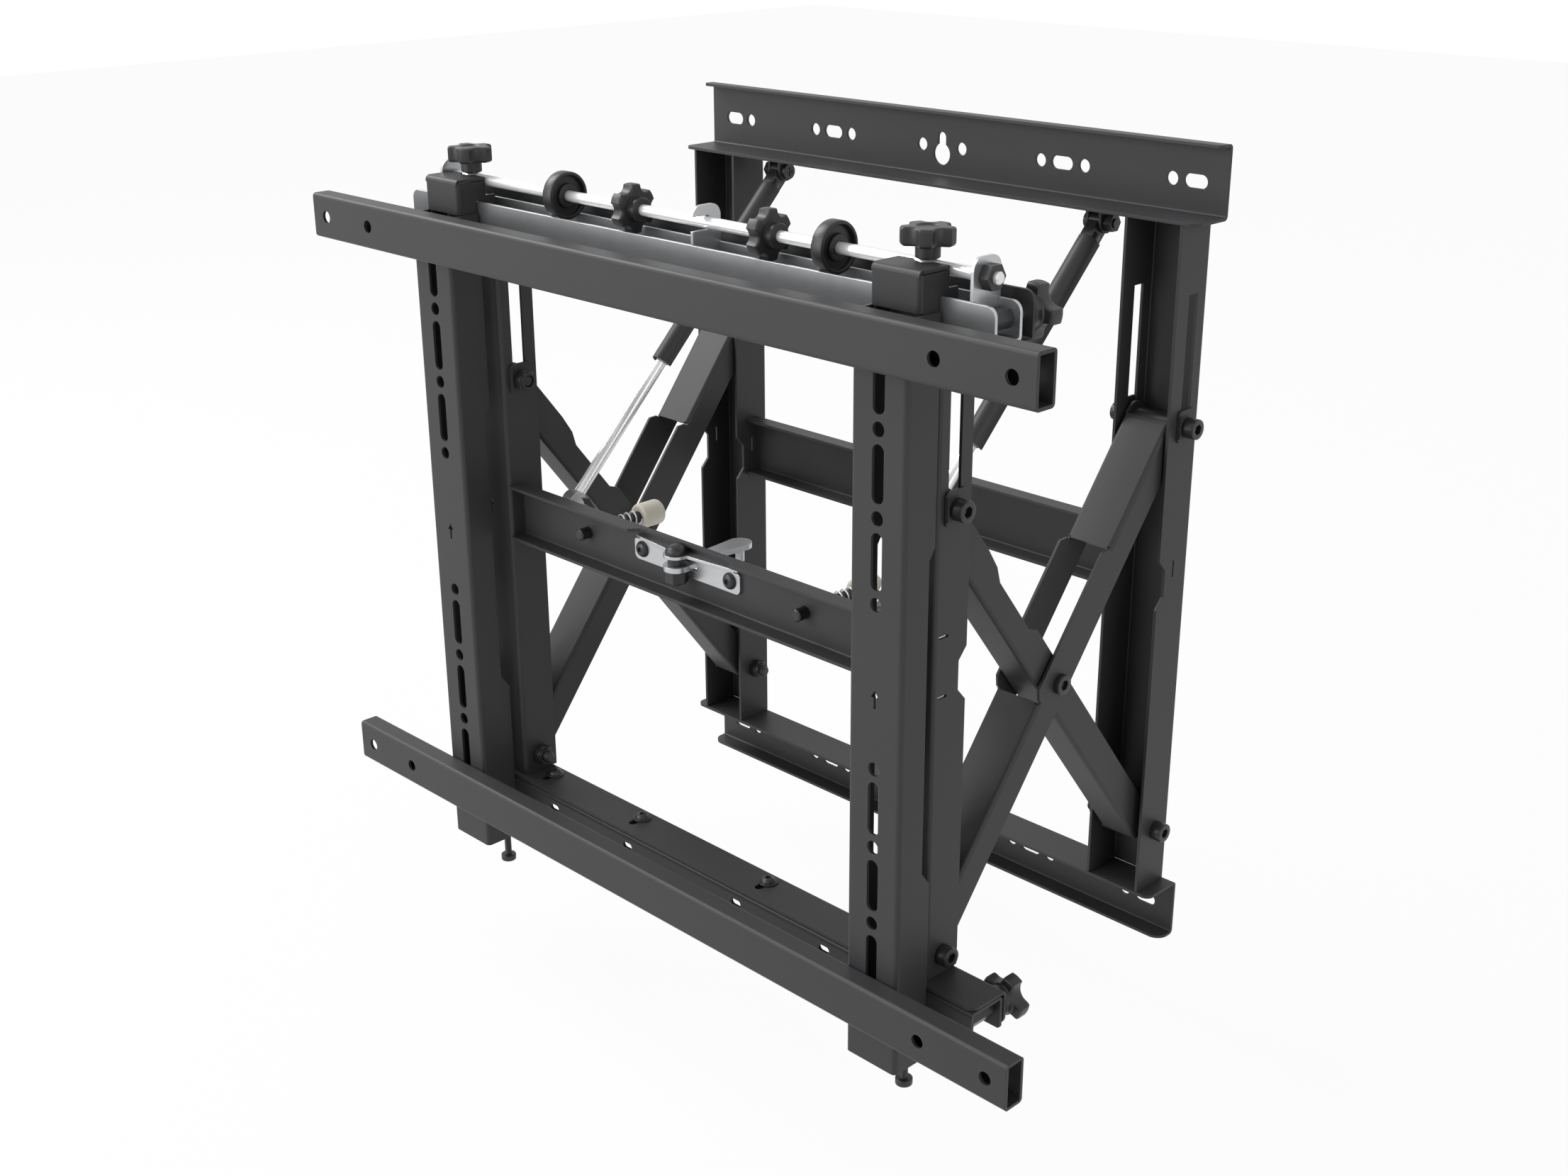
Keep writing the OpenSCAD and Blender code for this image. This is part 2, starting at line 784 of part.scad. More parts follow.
// A levelling screw in the foot tab of a display upright
module levelling_screw() {
  place = [upright_spacing / 2, front + level_back];
  color(oxide) {
    bar_z(level_head, level_bottom, level_bottom + level_head_height, place);
    bar_z(level_shank, level_bottom + level_head_height - over, level_top, place);
  }
}

module levelling_screw_left() {
  left() levelling_screw();
}
module levelling_screw_right() {
  levelling_screw();
}

// Carriage

// A channel of the carriage, open upward. Children are cut from it.
module carriage_channel(face, depth, floor_height, height, knob_height, corner) {
  half = rail_length / 2;
  rear = face + depth;
  difference() {
    along_x(-half, half) translate([face + depth / 2, floor_height]) channel_outline(depth, height);
    for (side = [-1, 1]) {
      along_y(face - over, rear + over) corner_sliver([side * half, floor_height + height], [side, 1], corner);
      bar_y(knob_bore, rear - sheet - over, rear + over, [side * knob_side, knob_height]);
    }
    children();
  }
}

// Top channel, open upward, on the top outer rail
module top_channel() {
  color(zinc)
    carriage_channel(
      front + channel_front, channel_depth, channel_floor, channel_height, knob_high, channel_corner
    );
}

// Bottom channel, open downward, under the bottom outer rail
module bottom_channel() {
  wall = front + low_channel_front;
  color(black)
    mirror([0, 0, 1])
      carriage_channel(
        wall, low_channel_depth, -low_channel_top, low_channel_height, -knob_low, sheet
      ) {
        along_y(wall - over, wall + sheet + over)
          for (side = [-1, 1], place = drain_places)
            translate([side * place, -drain_height]) slot(drain_length, drain_width);
        for (place = rail_screws_at)
          bar_z(
            rail_screw + 2 * run, -low_channel_top - over, -low_channel_top + sheet + over,
            [place, front + rail_screw_back]
          );
      }
}

// Six-sided tapped spacers that take the depth screws inside the channels
module channel_spacers() {
  color(oxide)
    both_sides()
      for (row = [
        [channel_in, channel_out, knob_high],
        [low_in, low_out, knob_low]
      ])
        difference() {
          along_y(row[0], row[1]) translate([knob_side, row[2]]) hexagon(spacer_flats);
          bar_y(knob_bore, row[0] + sheet, row[1] + over, [knob_side, row[2]]);
        }
}

// A depth knob behind an outer rail, with its screw through the rail into a spacer
module depth_knob(height, tip, turn) {
  hub_front = rail_rear + turn_gap;
  hub_rear = hub_front + depth_hub_length;
  place = [knob_side, height];
  color(plastic) {
    bar_y(depth_hub, hub_front, hub_rear, place);
    along_y(hub_rear - seat, hub_rear + depth_star_thick)
      translate(place) star(star_diameter + 1, 4, 9, turn);
  }
  color(zinc) bar_y(knob_screw, tip, hub_front + over, place);
}

top_tip = channel_in + sheet + over;
bottom_tip = low_in + sheet + over;

module depth_knob_top_left() {
  left() depth_knob(knob_high, top_tip, 5);
}
module depth_knob_top_right() {
  depth_knob(knob_high, top_tip, 5);
}

module depth_knob_bottom_left() {
  left() depth_knob(knob_low, bottom_tip, 20);
}
module depth_knob_bottom_right() {
  depth_knob(knob_low, bottom_tip, 20);
}

// Outline of a rod bracket: narrow inside the channel, with shoulders on its walls
module bracket_outline() {
  wall_top = channel_floor + channel_height + seat;
  round_rect(
    [front + channel_front, wall_top], [front + channel_front + channel_depth, bracket_top],
    [0, 0, bracket_corner, bracket_corner]
  );
  translate([channel_in, channel_floor + sheet])
    square([channel_out - channel_in, wall_top + over - channel_floor - sheet]);
}

// The two closed end brackets and the open centre bracket that hold the adjusting rod
module rod_brackets() {
  color(zinc) {
    for (place = bracket_places)
      difference() {
        along_x(place, place + sheet) bracket_outline();
        bar_x(rod_diameter + 2 * run, place - over, place + sheet + over, rod_axis);
      }
    along_x(centre_bracket_place, centre_bracket_place + sheet)
      difference() {
        bracket_outline();
        translate(rod_axis) circle(d = centre_slot);
        translate([front, rod_height - centre_slot / 2]) square([rod_back, centre_slot]);
      }
  }
}

module adjusting_rod() {
  color(steel) bar_x(rod_diameter, rod_left, rod_right, rod_axis);
}

// Hexagon nuts on both ends of the adjusting rod
module rod_nuts() {
  thick = 6;
  color(oxide)
    for (start = [bracket_places[0] - turn_gap - thick, bracket_places[1] + sheet + turn_gap])
      difference() {
        along_x(start, start + thick) translate(rod_axis) hexagon(nut_flats);
        bar_x(rod_diameter, start - over, start + thick + over, rod_axis);
      }
}

// Two six-lobed knobs on the adjusting rod
module rod_star_knobs() {
  color(plastic)
    for (place = rod_knob_places)
      difference() {
        union() {
          bar_x(wheel_hub, place - rod_hub - over, place, rod_axis);
          along_x(place - rod_hub - rod_star, place - rod_hub)
            translate(rod_axis) star(star_diameter, 6, 5, 0);
        }
        bar_x(rod_diameter, place - rod_hub - rod_star - over, place + over, rod_axis);
      }
}

// Two dished wheels on the adjusting rod
module rod_wheels() {
  color(plastic)
    for (place = wheel_places) {
      inner = place - wheel_thick;
      difference() {
        bar_x(wheel_diameter, inner, place, rod_axis);
        for (face = [[place - recess_deep, place + over], [inner - over, inner + recess_deep]])
          difference() {
            bar_x(wheel_recess, face[0], face[1], rod_axis);
            bar_x(wheel_hub, face[0] - over, face[1] + over, rod_axis);
          }
        bar_x(rod_diameter + 2 * run, inner - over, place + over, rod_axis);
      }
    }
}

// Front frame

// The step in the edge of an upright's flanges
module notch_outline(edge, notch) {
  outside = edge + sign(edge - notch) * over;
  polygon([
    [outside, notch_z[0]], [edge, notch_z[0]], [notch, notch_z[1]],
    [notch, notch_z[2]], [edge, notch_z[3]], [outside, notch_z[3]]
  ]);
}

// A front upright: a channel open to the rear that guides the inner arms
module front_upright() {
  rear = post + front_upright_depth;
  slit = [post + 4, post + 12];
  slit_height = 1.6;
  difference() {
    along_z(bottom_rail_top, top_rail_under)
      translate([upright_mid, post]) channel_outline(upright_width, front_upright_depth);
    along_x(low_side, high_side) {
      notch_outline(rear, post + front_notch_depth);
      translate([front_pivot - front_slot_width / 2, guide_ends[0]])
        square([front_slot_width, guide_ends[1] - guide_ends[0]]);
      for (height = [bar_edges[0] + sheet / 2, bar_edges[1] - sheet / 2])
        translate([slit[0], height - slit_height / 2]) square([slit[1] - slit[0], slit_height]);
    }
    bar_x(2 * bolt_bore, low_side, high_side, [front_pivot, -pivot_drop]);
    along_y(post - over, post + sheet + over)
      translate([upright_mid, 12.5]) arrow();
  }
}

module front_upright_left() {
  color(black) left() front_upright();
}
module front_upright_right() {
  color(black) front_upright();
}

// One of the two jaws that take a strut's lower pin. The pin can leave back and down.
module jaw(x0) {
  run_angle = atan2(-jaw_run_down, jaw_run_back);
  run_length = norm([jaw_run_back, jaw_run_down]);
  half = jaw_slot_width / 2;
  back = strut_low[0] + jaw_run_back + 2 * half;
  top = strut_low[1] + 1.5;
  low = bar_edges[0];
  along_x(x0, x0 + sheet)
    difference() {
      polygon([
        [web_rear, low], [back - half, low], [back, low + half],
        [back, strut_low[1] - jaw_run_down], [strut_low[0] + 2 * half, top], [web_rear, top]
      ]);
      translate(strut_low) rotate(run_angle)
        translate([run_length / 2, 0]) slot(run_length + jaw_slot_width, jaw_slot_width);
      translate(strut_low) translate([-half, 0]) square(jaw_slot_width);
    }
}

// Front crossbar: a channel open to the front, with the struts' jaws on its rear
module front_crossbar() {
  middle = (bar_edges[0] + bar_edges[1]) / 2;
  height = bar_edges[1] - bar_edges[0];
  flange_low = bar_edges[1] - sheet - over;
  blend = 8;
  color(black) {
    difference() {
      along_x(-upright_inner, upright_inner)
        translate([web_rear, middle]) rotate(90) channel_outline(height, crossbar_depth);
      // Recess in the upper flange above the latch
      along_z(flange_low, bar_edges[1] + over) {
        translate([-dip_half + blend, post - over])
          square([2 * (dip_half - blend), dip_depth + over]);
        both_sides()
          polygon([
              [dip_half - blend - over, post - over],
              [dip_half + blend / 2, post - over],
              [dip_half + blend / 4, post],
              [dip_half, post + dip_depth / 4],
              [dip_half - blend / 2, post + dip_depth * 0.8],
              [dip_half - blend, post + dip_depth],
              [dip_half - blend - over, post + dip_depth]
            ]);
      }
      // Window for the latch lever
      box(
        [latch_place - window_half, web_front - over, lever_z[0] - over],
        [latch_place + window_half, web_rear + over, lever_z[1] + over]
      );
      for (side = [-1, 1])
        bar_y(bumper_pin + 2 * run, web_front - over, web_rear + over, [side * bumper_side, bumper_z]);
      for (place = ear_places)
        bar_y(5, web_front - over, web_rear + over, [place, ear_height]);
    }
    both_struts()
      for (x0 = [-low_eye_length / 2 - seat - sheet, low_eye_length / 2 + seat])
        jaw(x0);
  }
}

// An outer rail: a flat plate with a rear flange upward. Children are cut from the plate.
module outer_rail(under, height, knob_height) {
  half = rail_length / 2;
  edge = front + rail_front;
  top = under + height;
  difference() {
    along_x(-half, half)
      difference() {
        round_rect([edge, under], [rail_rear, top], [0, bend, 0, 0]);
        round_rect([edge - over, under + sheet], [rail_rear - sheet, top + over], [0, bend - sheet, 0, 0]);
      }
    for (side = [-1, 1]) {
      along_y(rail_rear - sheet - over, rail_rear + over) corner_sliver([side * half, top], [side, 1], rail_corner);
      bar_y(knob_bore, rail_rear - sheet - over, rail_rear + over, [side * knob_side, knob_height]);
    }
    along_z(under - over, under + sheet + over) {
      for (side = [-1, 1]) corner_sliver([side * half, edge], [side, -1], rail_corner);
      children();
    }
  }
}

// Top outer rail, on the tops of the front uprights
module top_outer_rail() {
  color(black) outer_rail(top_rail_under, top_rail_height, knob_high);
}

// Bottom outer rail, under the front uprights, with slots that let its screws slide
module bottom_outer_rail() {
  room = (rail_slot_length - rail_screw) / 2;
  color(black)
    mirror([0, 0, 1])
      outer_rail(-bottom_rail_top, bottom_rail_height, -knob_low)
        for (place = rail_screws_at)
          translate([place, front + rail_screw_back + 1.5 - room]) rotate(90) slot(rail_slot_length, rail_screw + 2 * seat);
}

// A button-head screw along Z, its head upward on a flange
module button_screw(flange, head, head_height, shank, shank_length) {
  difference() {
    union() {
      cylinder(d = flange, h = over);
      translate([0, 0, over]) cylinder(d1 = head, d2 = head * 0.6, h = head_height - over);
      translate([0, 0, -shank_length]) cylinder(d = shank, h = shank_length + head_height / 2);
    }
    translate([0, 0, head_height / 2]) linear_extrude(head_height) hexagon(head / 3);
  }
}

// Button-head screws that join the bottom channel to the bottom outer rail
module rail_screws() {
  color(oxide)
    for (place = rail_screws_at)
      translate([place, front + rail_screw_back, bottom_rail_top + turn_gap / 2])
        button_screw(13, 10, 4.3, rail_screw, 9);
}

// Latch

// Latch plate: two screw ears on the crossbar's web and a wing bent forward over the lever
module latch_plate() {
  rear = web_front;
  middle = (plate_ends[0] + plate_ends[1]) / 2;
  shoulder = wing_half + 4;
  color(zinc)
    difference() {
      union() {
        along_y(rear - sheet, rear) {
          round_rect(
            [plate_ends[0], plate_z[0]], [plate_ends[1], latch_ear_top],
            [4, 4, 2, 2]
          );
          round_rect(
            [middle - wing_half, plate_z[0]], [middle + wing_half, plate_z[1]],
            [4, 4, 0, 0]
          );
        }
        along_z(plate_z[1] - sheet, plate_z[1])
          difference() {
            union() {
              polygon([
                [middle - shoulder, rear - sheet], [middle - shoulder + 6, rear - sheet - 2],
                [middle - 22, rear - sheet - 4], [latch_hub[0] - latch_nose, latch_hub[1] + 1],
                [latch_hub[0] - latch_nose * 0.8, latch_hub[1] - latch_nose * 0.6],
                [latch_hub[0] + latch_nose * 0.8, latch_hub[1] - latch_nose * 0.6],
                [latch_hub[0] + latch_nose, latch_hub[1] + 1], [middle + 22, rear - sheet - 4],
                [middle + shoulder - 6, rear - sheet - 2], [middle + shoulder, rear - sheet],
                [middle + wing_half, rear], [middle - wing_half, rear]
              ]);
              translate(latch_hub) circle(r = latch_nose);
            }
          }
      }
      box(
        [latch_place - window_half, rear - sheet - over, lever_z[0] - over],
        [latch_place + window_half, rear + over, lever_z[1] + over]
      );
      bar_z(bolt_diameter, plate_z[1] - sheet - over, plate_z[1] + over, latch_hub);
      for (place = ear_places) bar_y(5, rear - sheet - over, rear + over, [place, ear_height]);
    }
}

// Button-head screws through the ears of the latch plate
module latch_screws() {
  face = web_front - sheet;
  color(oxide)
    for (place = ear_places)
      translate([place, face, ear_height]) rotate([90, 0, 0]) button_screw(11, 10, 3.3, 5, 7);
}

// Domed bolt with a shoulder, on which the latch lever turns
module latch_bolt() {
  top = plate_z[1];
  bottom = lever_z[0] - turn_gap - nut_length - 2;
  rim = 2;
  color(oxide) {
    bar_z(latch_head, top, top + rim, latch_hub);
    translate([latch_hub[0], latch_hub[1], top + rim])
      cylinder(d1 = latch_head, d2 = latch_head * 0.55, h = latch_head_height - rim);
    bar_z(bolt_diameter, bottom, top + over, latch_hub);
    bar_z(latch_shoulder, lever_z[1] + turn_gap, top - sheet, latch_hub);
  }
}

// Lock nut under the latch lever
module latch_nut() {
  top = lever_z[0] - turn_gap;
  color(oxide)
    difference() {
      translate([latch_hub[0], latch_hub[1], top - nut_length]) linear_extrude(nut_length) hexagon(nut_flats);
      bar_z(bolt_diameter, top - nut_length - over, top + over, latch_hub);
    }
}

// Latch lever: a flat arm through the crossbar with a downward pin at its far end
module latch_lever() {
  pin = [lever_pin_place, front + lever_pin_back];
  color(zinc)
    difference() {
      union() {
        along_z(lever_z[0], lever_z[1]) {
          translate(latch_hub) circle(r = lever_radius);
          translate(pin) circle(r = lever_end_radius);
          polygon([
            latch_hub + [-lever_radius, 0], latch_hub + [lever_radius, 0], latch_hub + [lever_neck_half, 18],
            pin + [lever_neck_half, -20], pin + [lever_end_radius, 0], pin + [-lever_end_radius, 0],
            pin + [-lever_neck_half, -20], latch_hub + [-lever_neck_half, 18]
          ]);
        }
        bar_z(lever_pin, lever_pin_bottom, lever_z[1], pin);
      }
      bar_z(bolt_diameter + 2 * run, lever_z[0] - over, lever_z[1] + over, latch_hub);
    }
}

// Bumpers

// Pins that slide in the crossbar's web
module bumper_pins() {
  color(oxide)
    both_sides()
      bar_y(bumper_pin, front + bumper_pin_front, front + cap_front + 10, [bumper_side, bumper_z]);
}

// Soft caps on the rear ends of the pins
module bumper_caps() {
  color(ivory)
    both_sides()
      difference() {
        bar_y(bumper_cap, front + cap_front, front + cap_rear, [bumper_side, bumper_z]);
        bar_y(bumper_pin, front + cap_front - over, front + cap_front + 10, [bumper_side, bumper_z]);
      }
}

coil_sides = 6;
curl_rings = 8;
coil_start = web_rear + wire / 2 + 0.1;
coil_end = front + cap_front - wire / 2 - 0.1;
coil_pitch = (coil_end - coil_start) / coil_turns;
coil_rings = coil_turns * curl_rings;
echo(bumper_spring_self_gap = coil_pitch - wire);

// Unit vector of a list of three numbers
function unit(v) = v / norm(v);
// Centre of the wire after a number of rings
function coil_centre(ring) =
  let (angle = ring * 360 / curl_rings)
  [
    coil_radius * cos(angle),
    coil_start + coil_pitch * ring / curl_rings,
    coil_radius * sin(angle)
  ];
// Direction of the wire at a ring
function coil_way(ring) =
  let (angle = ring * 360 / curl_rings, advance = coil_pitch / (2 * PI))
  unit([-coil_radius * sin(angle), advance, coil_radius * cos(angle)]);
// Points of the wire's outline at a ring
function coil_ring(ring) =
  let (
    angle = ring * 360 / curl_rings,
    outward = [cos(angle), 0, sin(angle)],
    upward = cross(outward, coil_way(ring))
  )
  [
    for (side = [0 : coil_sides - 1])
      coil_centre(ring)
        + wire / 2 * (cos(side * 360 / coil_sides) * outward + sin(side * 360 / coil_sides) * upward)
  ];

// One open coil spring round a bumper pin
module coil() {
  points = [for (ring = [0 : coil_rings]) each coil_ring(ring)];
  sides = [
    for (ring = [0 : coil_rings - 1], side = [0 : coil_sides - 1])
      let (
        next = (side + 1) % coil_sides,
        here = ring * coil_sides,
        there = here + coil_sides
      )
      each [[here + side, there + side, there + next], [here + side, there + next, here + next]]
  ];
  start_cap = [for (side = [0 : coil_sides - 1]) side];
  end_cap = [for (side = [coil_sides - 1 : -1 : 0]) coil_rings * coil_sides + side];
  polyhedron(points = points, faces = concat(sides, [start_cap], [end_cap]), convexity = 10);
}

module bumper_springs() {
  color(steel)
    for (side = [-1, 1]) translate([side * bumper_side, 0, bumper_z]) coil();
}

// Gas struts

// Places a strut, drawn along +Y, onto its upper pin
module strut_frame() {
  translate([0, strut_top[0], strut_top[1]]) rotate([strut_angle, 0, 0]) children();
}

// Dark covers, rounded on the front side and open to the rear
module strut_guards() {
  inner = guard_radius - guard_wall;
  color(black)
    both_struts()
      strut_frame()
        along_y(guard_start, guard_end)
          difference() {
            union() {
              circle(r = guard_radius);
              translate([-guard_radius, 0]) square([2 * guard_radius, guard_skirt]);
            }
            circle(r = inner);
            translate([-inner, 0]) square([2 * inner, guard_radius + over]);
          }
}

// Cylinders with their upper eyes
module strut_cylinders() {
  start = eye_radius + 3;
  end = guard_end - 1;
  bore_start = 30;
  half = strut_thick / 2 - turn_gap;
  color(oxide)
    both_struts()
      strut_frame()
        difference() {
          union() {
            bar_x(2 * eye_radius, -half, half, [0, 0]);
            box([-half, 0, -eye_radius + 1], [half, guard_start, eye_radius - 1]);
            bar_y(2 * cylinder_radius, start, end, [0, 0]);
          }
          bar_x(strut_pin + 2 * run, -half - over, half + over, [0, 0]);
          bar_y(strut_rod_size + 2 * run, bore_start, end + over, [0, 0]);
        }
}

// Bright rods that run in the cylinders
module strut_rods() {
  color(steel)
    both_struts()
      strut_frame()
        bar_y(strut_rod_size, strut_rod_start, strut_length - low_eye + 0.5, [0, 0]);
}

// Round eyes on the rods' lower ends, with the pins that lie in the crossbar's jaws
module strut_rod_eyes() {
  half = low_eye_length / 2;
  pin_half = half + seat + sheet;
  color(zinc)
    both_struts()
      strut_frame()
        difference() {
          union() {
            bar_x(2 * low_eye, -half, half, [strut_length, 0]);
            bar_x(strut_pin, -pin_half, pin_half, [strut_length, 0]);
          }
          bar_y(strut_rod_size, strut_length - low_eye - over, strut_length - low_eye + 0.5, [0, 0]);
        }
}

// Plates that hang from the top wall rail and hold the struts' upper pins
module strut_hangers() {
  flange_under = rear_half;
  half = strut_thick / 2;
  color(black)
    both_struts()
      for (x0 = [-half - sheet, half])
        difference() {
          union() {
            along_x(x0, x0 + sheet) {
              translate(strut_top) circle(r = eye_radius);
              translate([strut_top[0] - eye_radius, strut_top[1]])
                square([2 * eye_radius, flange_under - strut_top[1]]);
            }
          }
          bar_x(strut_pin + 2 * run, x0 - over, x0 + sheet + over, strut_top);
        }
}

// Cross-recessed screws through the hangers and the struts' upper eyes
module strut_top_screws() {
  face = -strut_thick / 2 - sheet;
  end = strut_thick / 2 + sheet + strut_nut_length + 1;
  recess = [strut_head_length / 2, 6, 1.4];
  color(oxide)
    both_struts()
      difference() {
        union() {
          bar_x(strut_pin, face - over, end, strut_top);
          bar_x(strut_head, face - strut_head_length, face, strut_top);
        }
        for (turn = [0, 90])
          translate([face - strut_head_length, strut_top[0], strut_top[1]])
            rotate([turn, 0, 0]) cube(recess, center = true);
      }
}

// Lock nuts on the outer ends of the struts' upper screws
module strut_top_nuts() {
  start = strut_thick / 2 + sheet;
  color(oxide)
    both_struts()
      difference() {
        along_x(start, start + strut_nut_length) translate(strut_top) hexagon(strut_nut_flats);
        bar_x(strut_pin, start - over, start + strut_nut_length + over, strut_top);
      }
}

// Scissor arms

// Places an arm, drawn along +Y, onto the lower front pivot
module outer_arm_frame() {
  translate([0, front_pivot, -pivot_drop]) rotate([arm_angle, 0, 0]) children();
}

// Places an arm, drawn along +Y, onto the lower rear pivot
module inner_arm_frame() {
  translate([0, rear_pivot, -pivot_drop]) mirror([0, 1, 0]) rotate([arm_angle, 0, 0]) children();
}

// Bores of an arm at its two ends and its middle
module arm_bores(sides) {
  for (place = [0, arm_length / 2, arm_length])
    bar_x(2 * bolt_bore, sides[0] - over, sides[1] + over, [place, 0]);
}

// Side outline of an outer arm
module outer_outline() {
  end_ramp = 6;
  for (place = [0, arm_length]) translate([place, 0]) circle(r = arm_below);
  polygon([
    [0, -arm_below], [arm_length, -arm_below], [arm_length, arm_below],
    [arm_length - end_ramp, arm_cover], [upper_cover[0], arm_cover],
    [raised[1], arm_bare], [raised[0], arm_bare],
    [lower_cover[1], arm_cover], [end_ramp, arm_cover], [0, arm_below]
  ]);
}

// An outer arm: two side plates joined by a lower and an upper cover
module outer_arm() {
  x0 = outer_sides[0];
  x1 = outer_sides[1];
  relief = 2.5;
  outer_arm_frame()
    difference() {
      along_x(x0, x1) outer_outline();
      // Space between the side plates, under the covers
      box(
        [x0 + sheet, -arm_below - over, -arm_below - over],
        [x1 - sheet, arm_length + arm_below + over, arm_cover - sheet]
      );
      // Open top beside and between the covers
      for (gap = [
        [-arm_below - over, lower_cover[0]],
        [lower_cover[1], upper_cover[0]],
        [upper_cover[1], arm_length + arm_below + over]
      ])
        box([x0 + sheet, gap[0], 0], [x1 - sheet, gap[1], arm_bare + over]);
      // Bent edges along the covers
      for (cover = [lower_cover, upper_cover])
        along_y(cover[0], cover[1])
          for (corner = [[x0, -1], [x1, 1]]) corner_sliver([corner[0], arm_cover], [corner[1], 1], bend);
      // Small round reliefs where the covers end
      for (place = [lower_cover[1], upper_cover[0]])
        for (x = [x0 - over, x1 - sheet - over])
          bar_x(relief, x, x + sheet + 2 * over, [place, arm_cover]);
      arm_bores(outer_sides);
    }
}

module outer_arm_left() {
  color(black) left() outer_arm();
}
module outer_arm_right() {
  color(black) outer_arm();
}

// Side outline of an inner arm
module inner_outline() {
  cut = 9;
  end_radius = inner_upper;
  s = inner_steps;
  circle(r = inner_above);
  translate([arm_length, 0]) circle(r = end_radius);
  polygon([
    [0, -inner_above], [web_ends[0], -web_below], [web_ends[1], -web_below],
    [web_ends[1] + cut, -end_radius], [arm_length, -end_radius], [arm_length, end_radius],
    [s[4], inner_upper], [s[3], inner_upper - 1.3], [s[2], inner_waist],
    [s[1], inner_waist], [s[0], inner_above], [0, inner_above]
  ]);
}

// An inner arm: a channel whose web lies along its lower side
module inner_arm() {
  x0 = inner_sides[0];
  x1 = inner_sides[1];
  inner_arm_frame()
    difference() {
      along_x(x0, x1) inner_outline();
      box(
        [x0 + sheet, -web_below, -web_below + sheet],
        [x1 - sheet, arm_length + web_below, web_below]
      );
      // Open ends beyond the web
      for (gap = [[-web_below, web_ends[0]], [web_ends[1], arm_length + web_below]])
        box([x0 + sheet, gap[0], -web_below - over], [x1 - sheet, gap[1], 0]);
      // Bent edges along the web
      along_y(web_ends[0], web_ends[1])
        for (corner = [[x0, -1], [x1, 1]]) corner_sliver([corner[0], -web_below], [corner[1], -1], bend);
      arm_bores(inner_sides);
    }
}

module inner_arm_left() {
  color(black) left() inner_arm();
}
module inner_arm_right() {
  color(black) inner_arm();
}

// A socket-head bolt along X: the head's inner face at seat_at, the thread's end at tip
module socket_bolt(place, tip, seat_at, head_length) {
  difference() {
    union() {
      bar_x(bolt_diameter, tip, seat_at + over, place);
      bar_x(bolt_head, seat_at, seat_at + head_length, place);
    }
    along_x(seat_at + head_length - min(socket_depth, head_length - over), seat_at + head_length + over)
      translate(place) hexagon(socket_flats);
  }
}

// A lock nut along X: a hexagon with a round collar on its inner end
module lock_nut(place, outer_face) {
  collar = 2;
  difference() {
    union() {
      along_x(outer_face - nut_length + collar, outer_face) translate(place) hexagon(nut_flats);
      bar_x(nut_flats - 1, outer_face - nut_length, outer_face - nut_length + collar + 0.5, place);
    }
    bar_x(bolt_diameter, outer_face - nut_length - over, outer_face + over, place);
  }
}

plain_seat = upright_outer + turn_gap;
plain_nut = upright_inner - turn_gap;
slider_seat = upright_outer + 2 * turn_gap + sheet;
slider_nut = upright_inner - 2 * turn_gap - sheet;

// Bolts at the lower rear pivot and the upper front guide of each inner arm
module inner_arm_bolts() {
  color(oxide)
    both_sides() {
      socket_bolt([rear_pivot, -pivot_drop], plain_nut - nut_length - 1.5, plain_seat, bolt_head_length);
      socket_bolt([front_pivot, pivot_rise], slider_nut - nut_length - 1.5, slider_seat, bolt_head_length);
    }
}

module inner_arm_nuts() {
  color(oxide)
    both_sides() {
      lock_nut([rear_pivot, -pivot_drop], plain_nut);
      lock_nut([front_pivot, pivot_rise], slider_nut);
    }
}

// Bolts at the lower front pivot and the upper rear guide of each outer arm
module outer_arm_bolts() {
  color(oxide)
    both_sides() {
      socket_bolt([front_pivot, -pivot_drop], plain_nut - nut_length - 1.5, plain_seat, bolt_head_length);
      socket_bolt([rear_pivot, pivot_rise], slider_nut - nut_length - 1.5, slider_seat, bolt_head_length);
    }
}

module outer_arm_nuts() {
  color(oxide)
    both_sides() {
      lock_nut([front_pivot, -pivot_drop], plain_nut);
      lock_nut([rear_pivot, pivot_rise], slider_nut);
    }
}

centre_pivot = [(front_pivot + rear_pivot) / 2, (pivot_rise - pivot_drop) / 2];

// Low-head bolts where the arms cross
module centre_bolts() {
  color(oxide)
    both_sides()
      socket_bolt(centre_pivot, outer_sides[0] - nut_length - 1, outer_sides[1], low_head_length);
}

module centre_nuts() {
  color(oxide) both_sides() lock_nut(centre_pivot, outer_sides[0]);
}

// Tubes round the upper rear bolts, between the side plates of the outer arms
module slider_sleeves() {
  place = [rear_pivot, pivot_rise];
  x0 = outer_sides[0] + sheet;
  x1 = outer_sides[1] - sheet;
  color(oxide)
    both_sides()
      difference() {
        bar_x(sleeve_diameter, x0, x1, place);
        bar_x(2 * bolt_bore, x0 - over, x1 + over, place);
      }
}

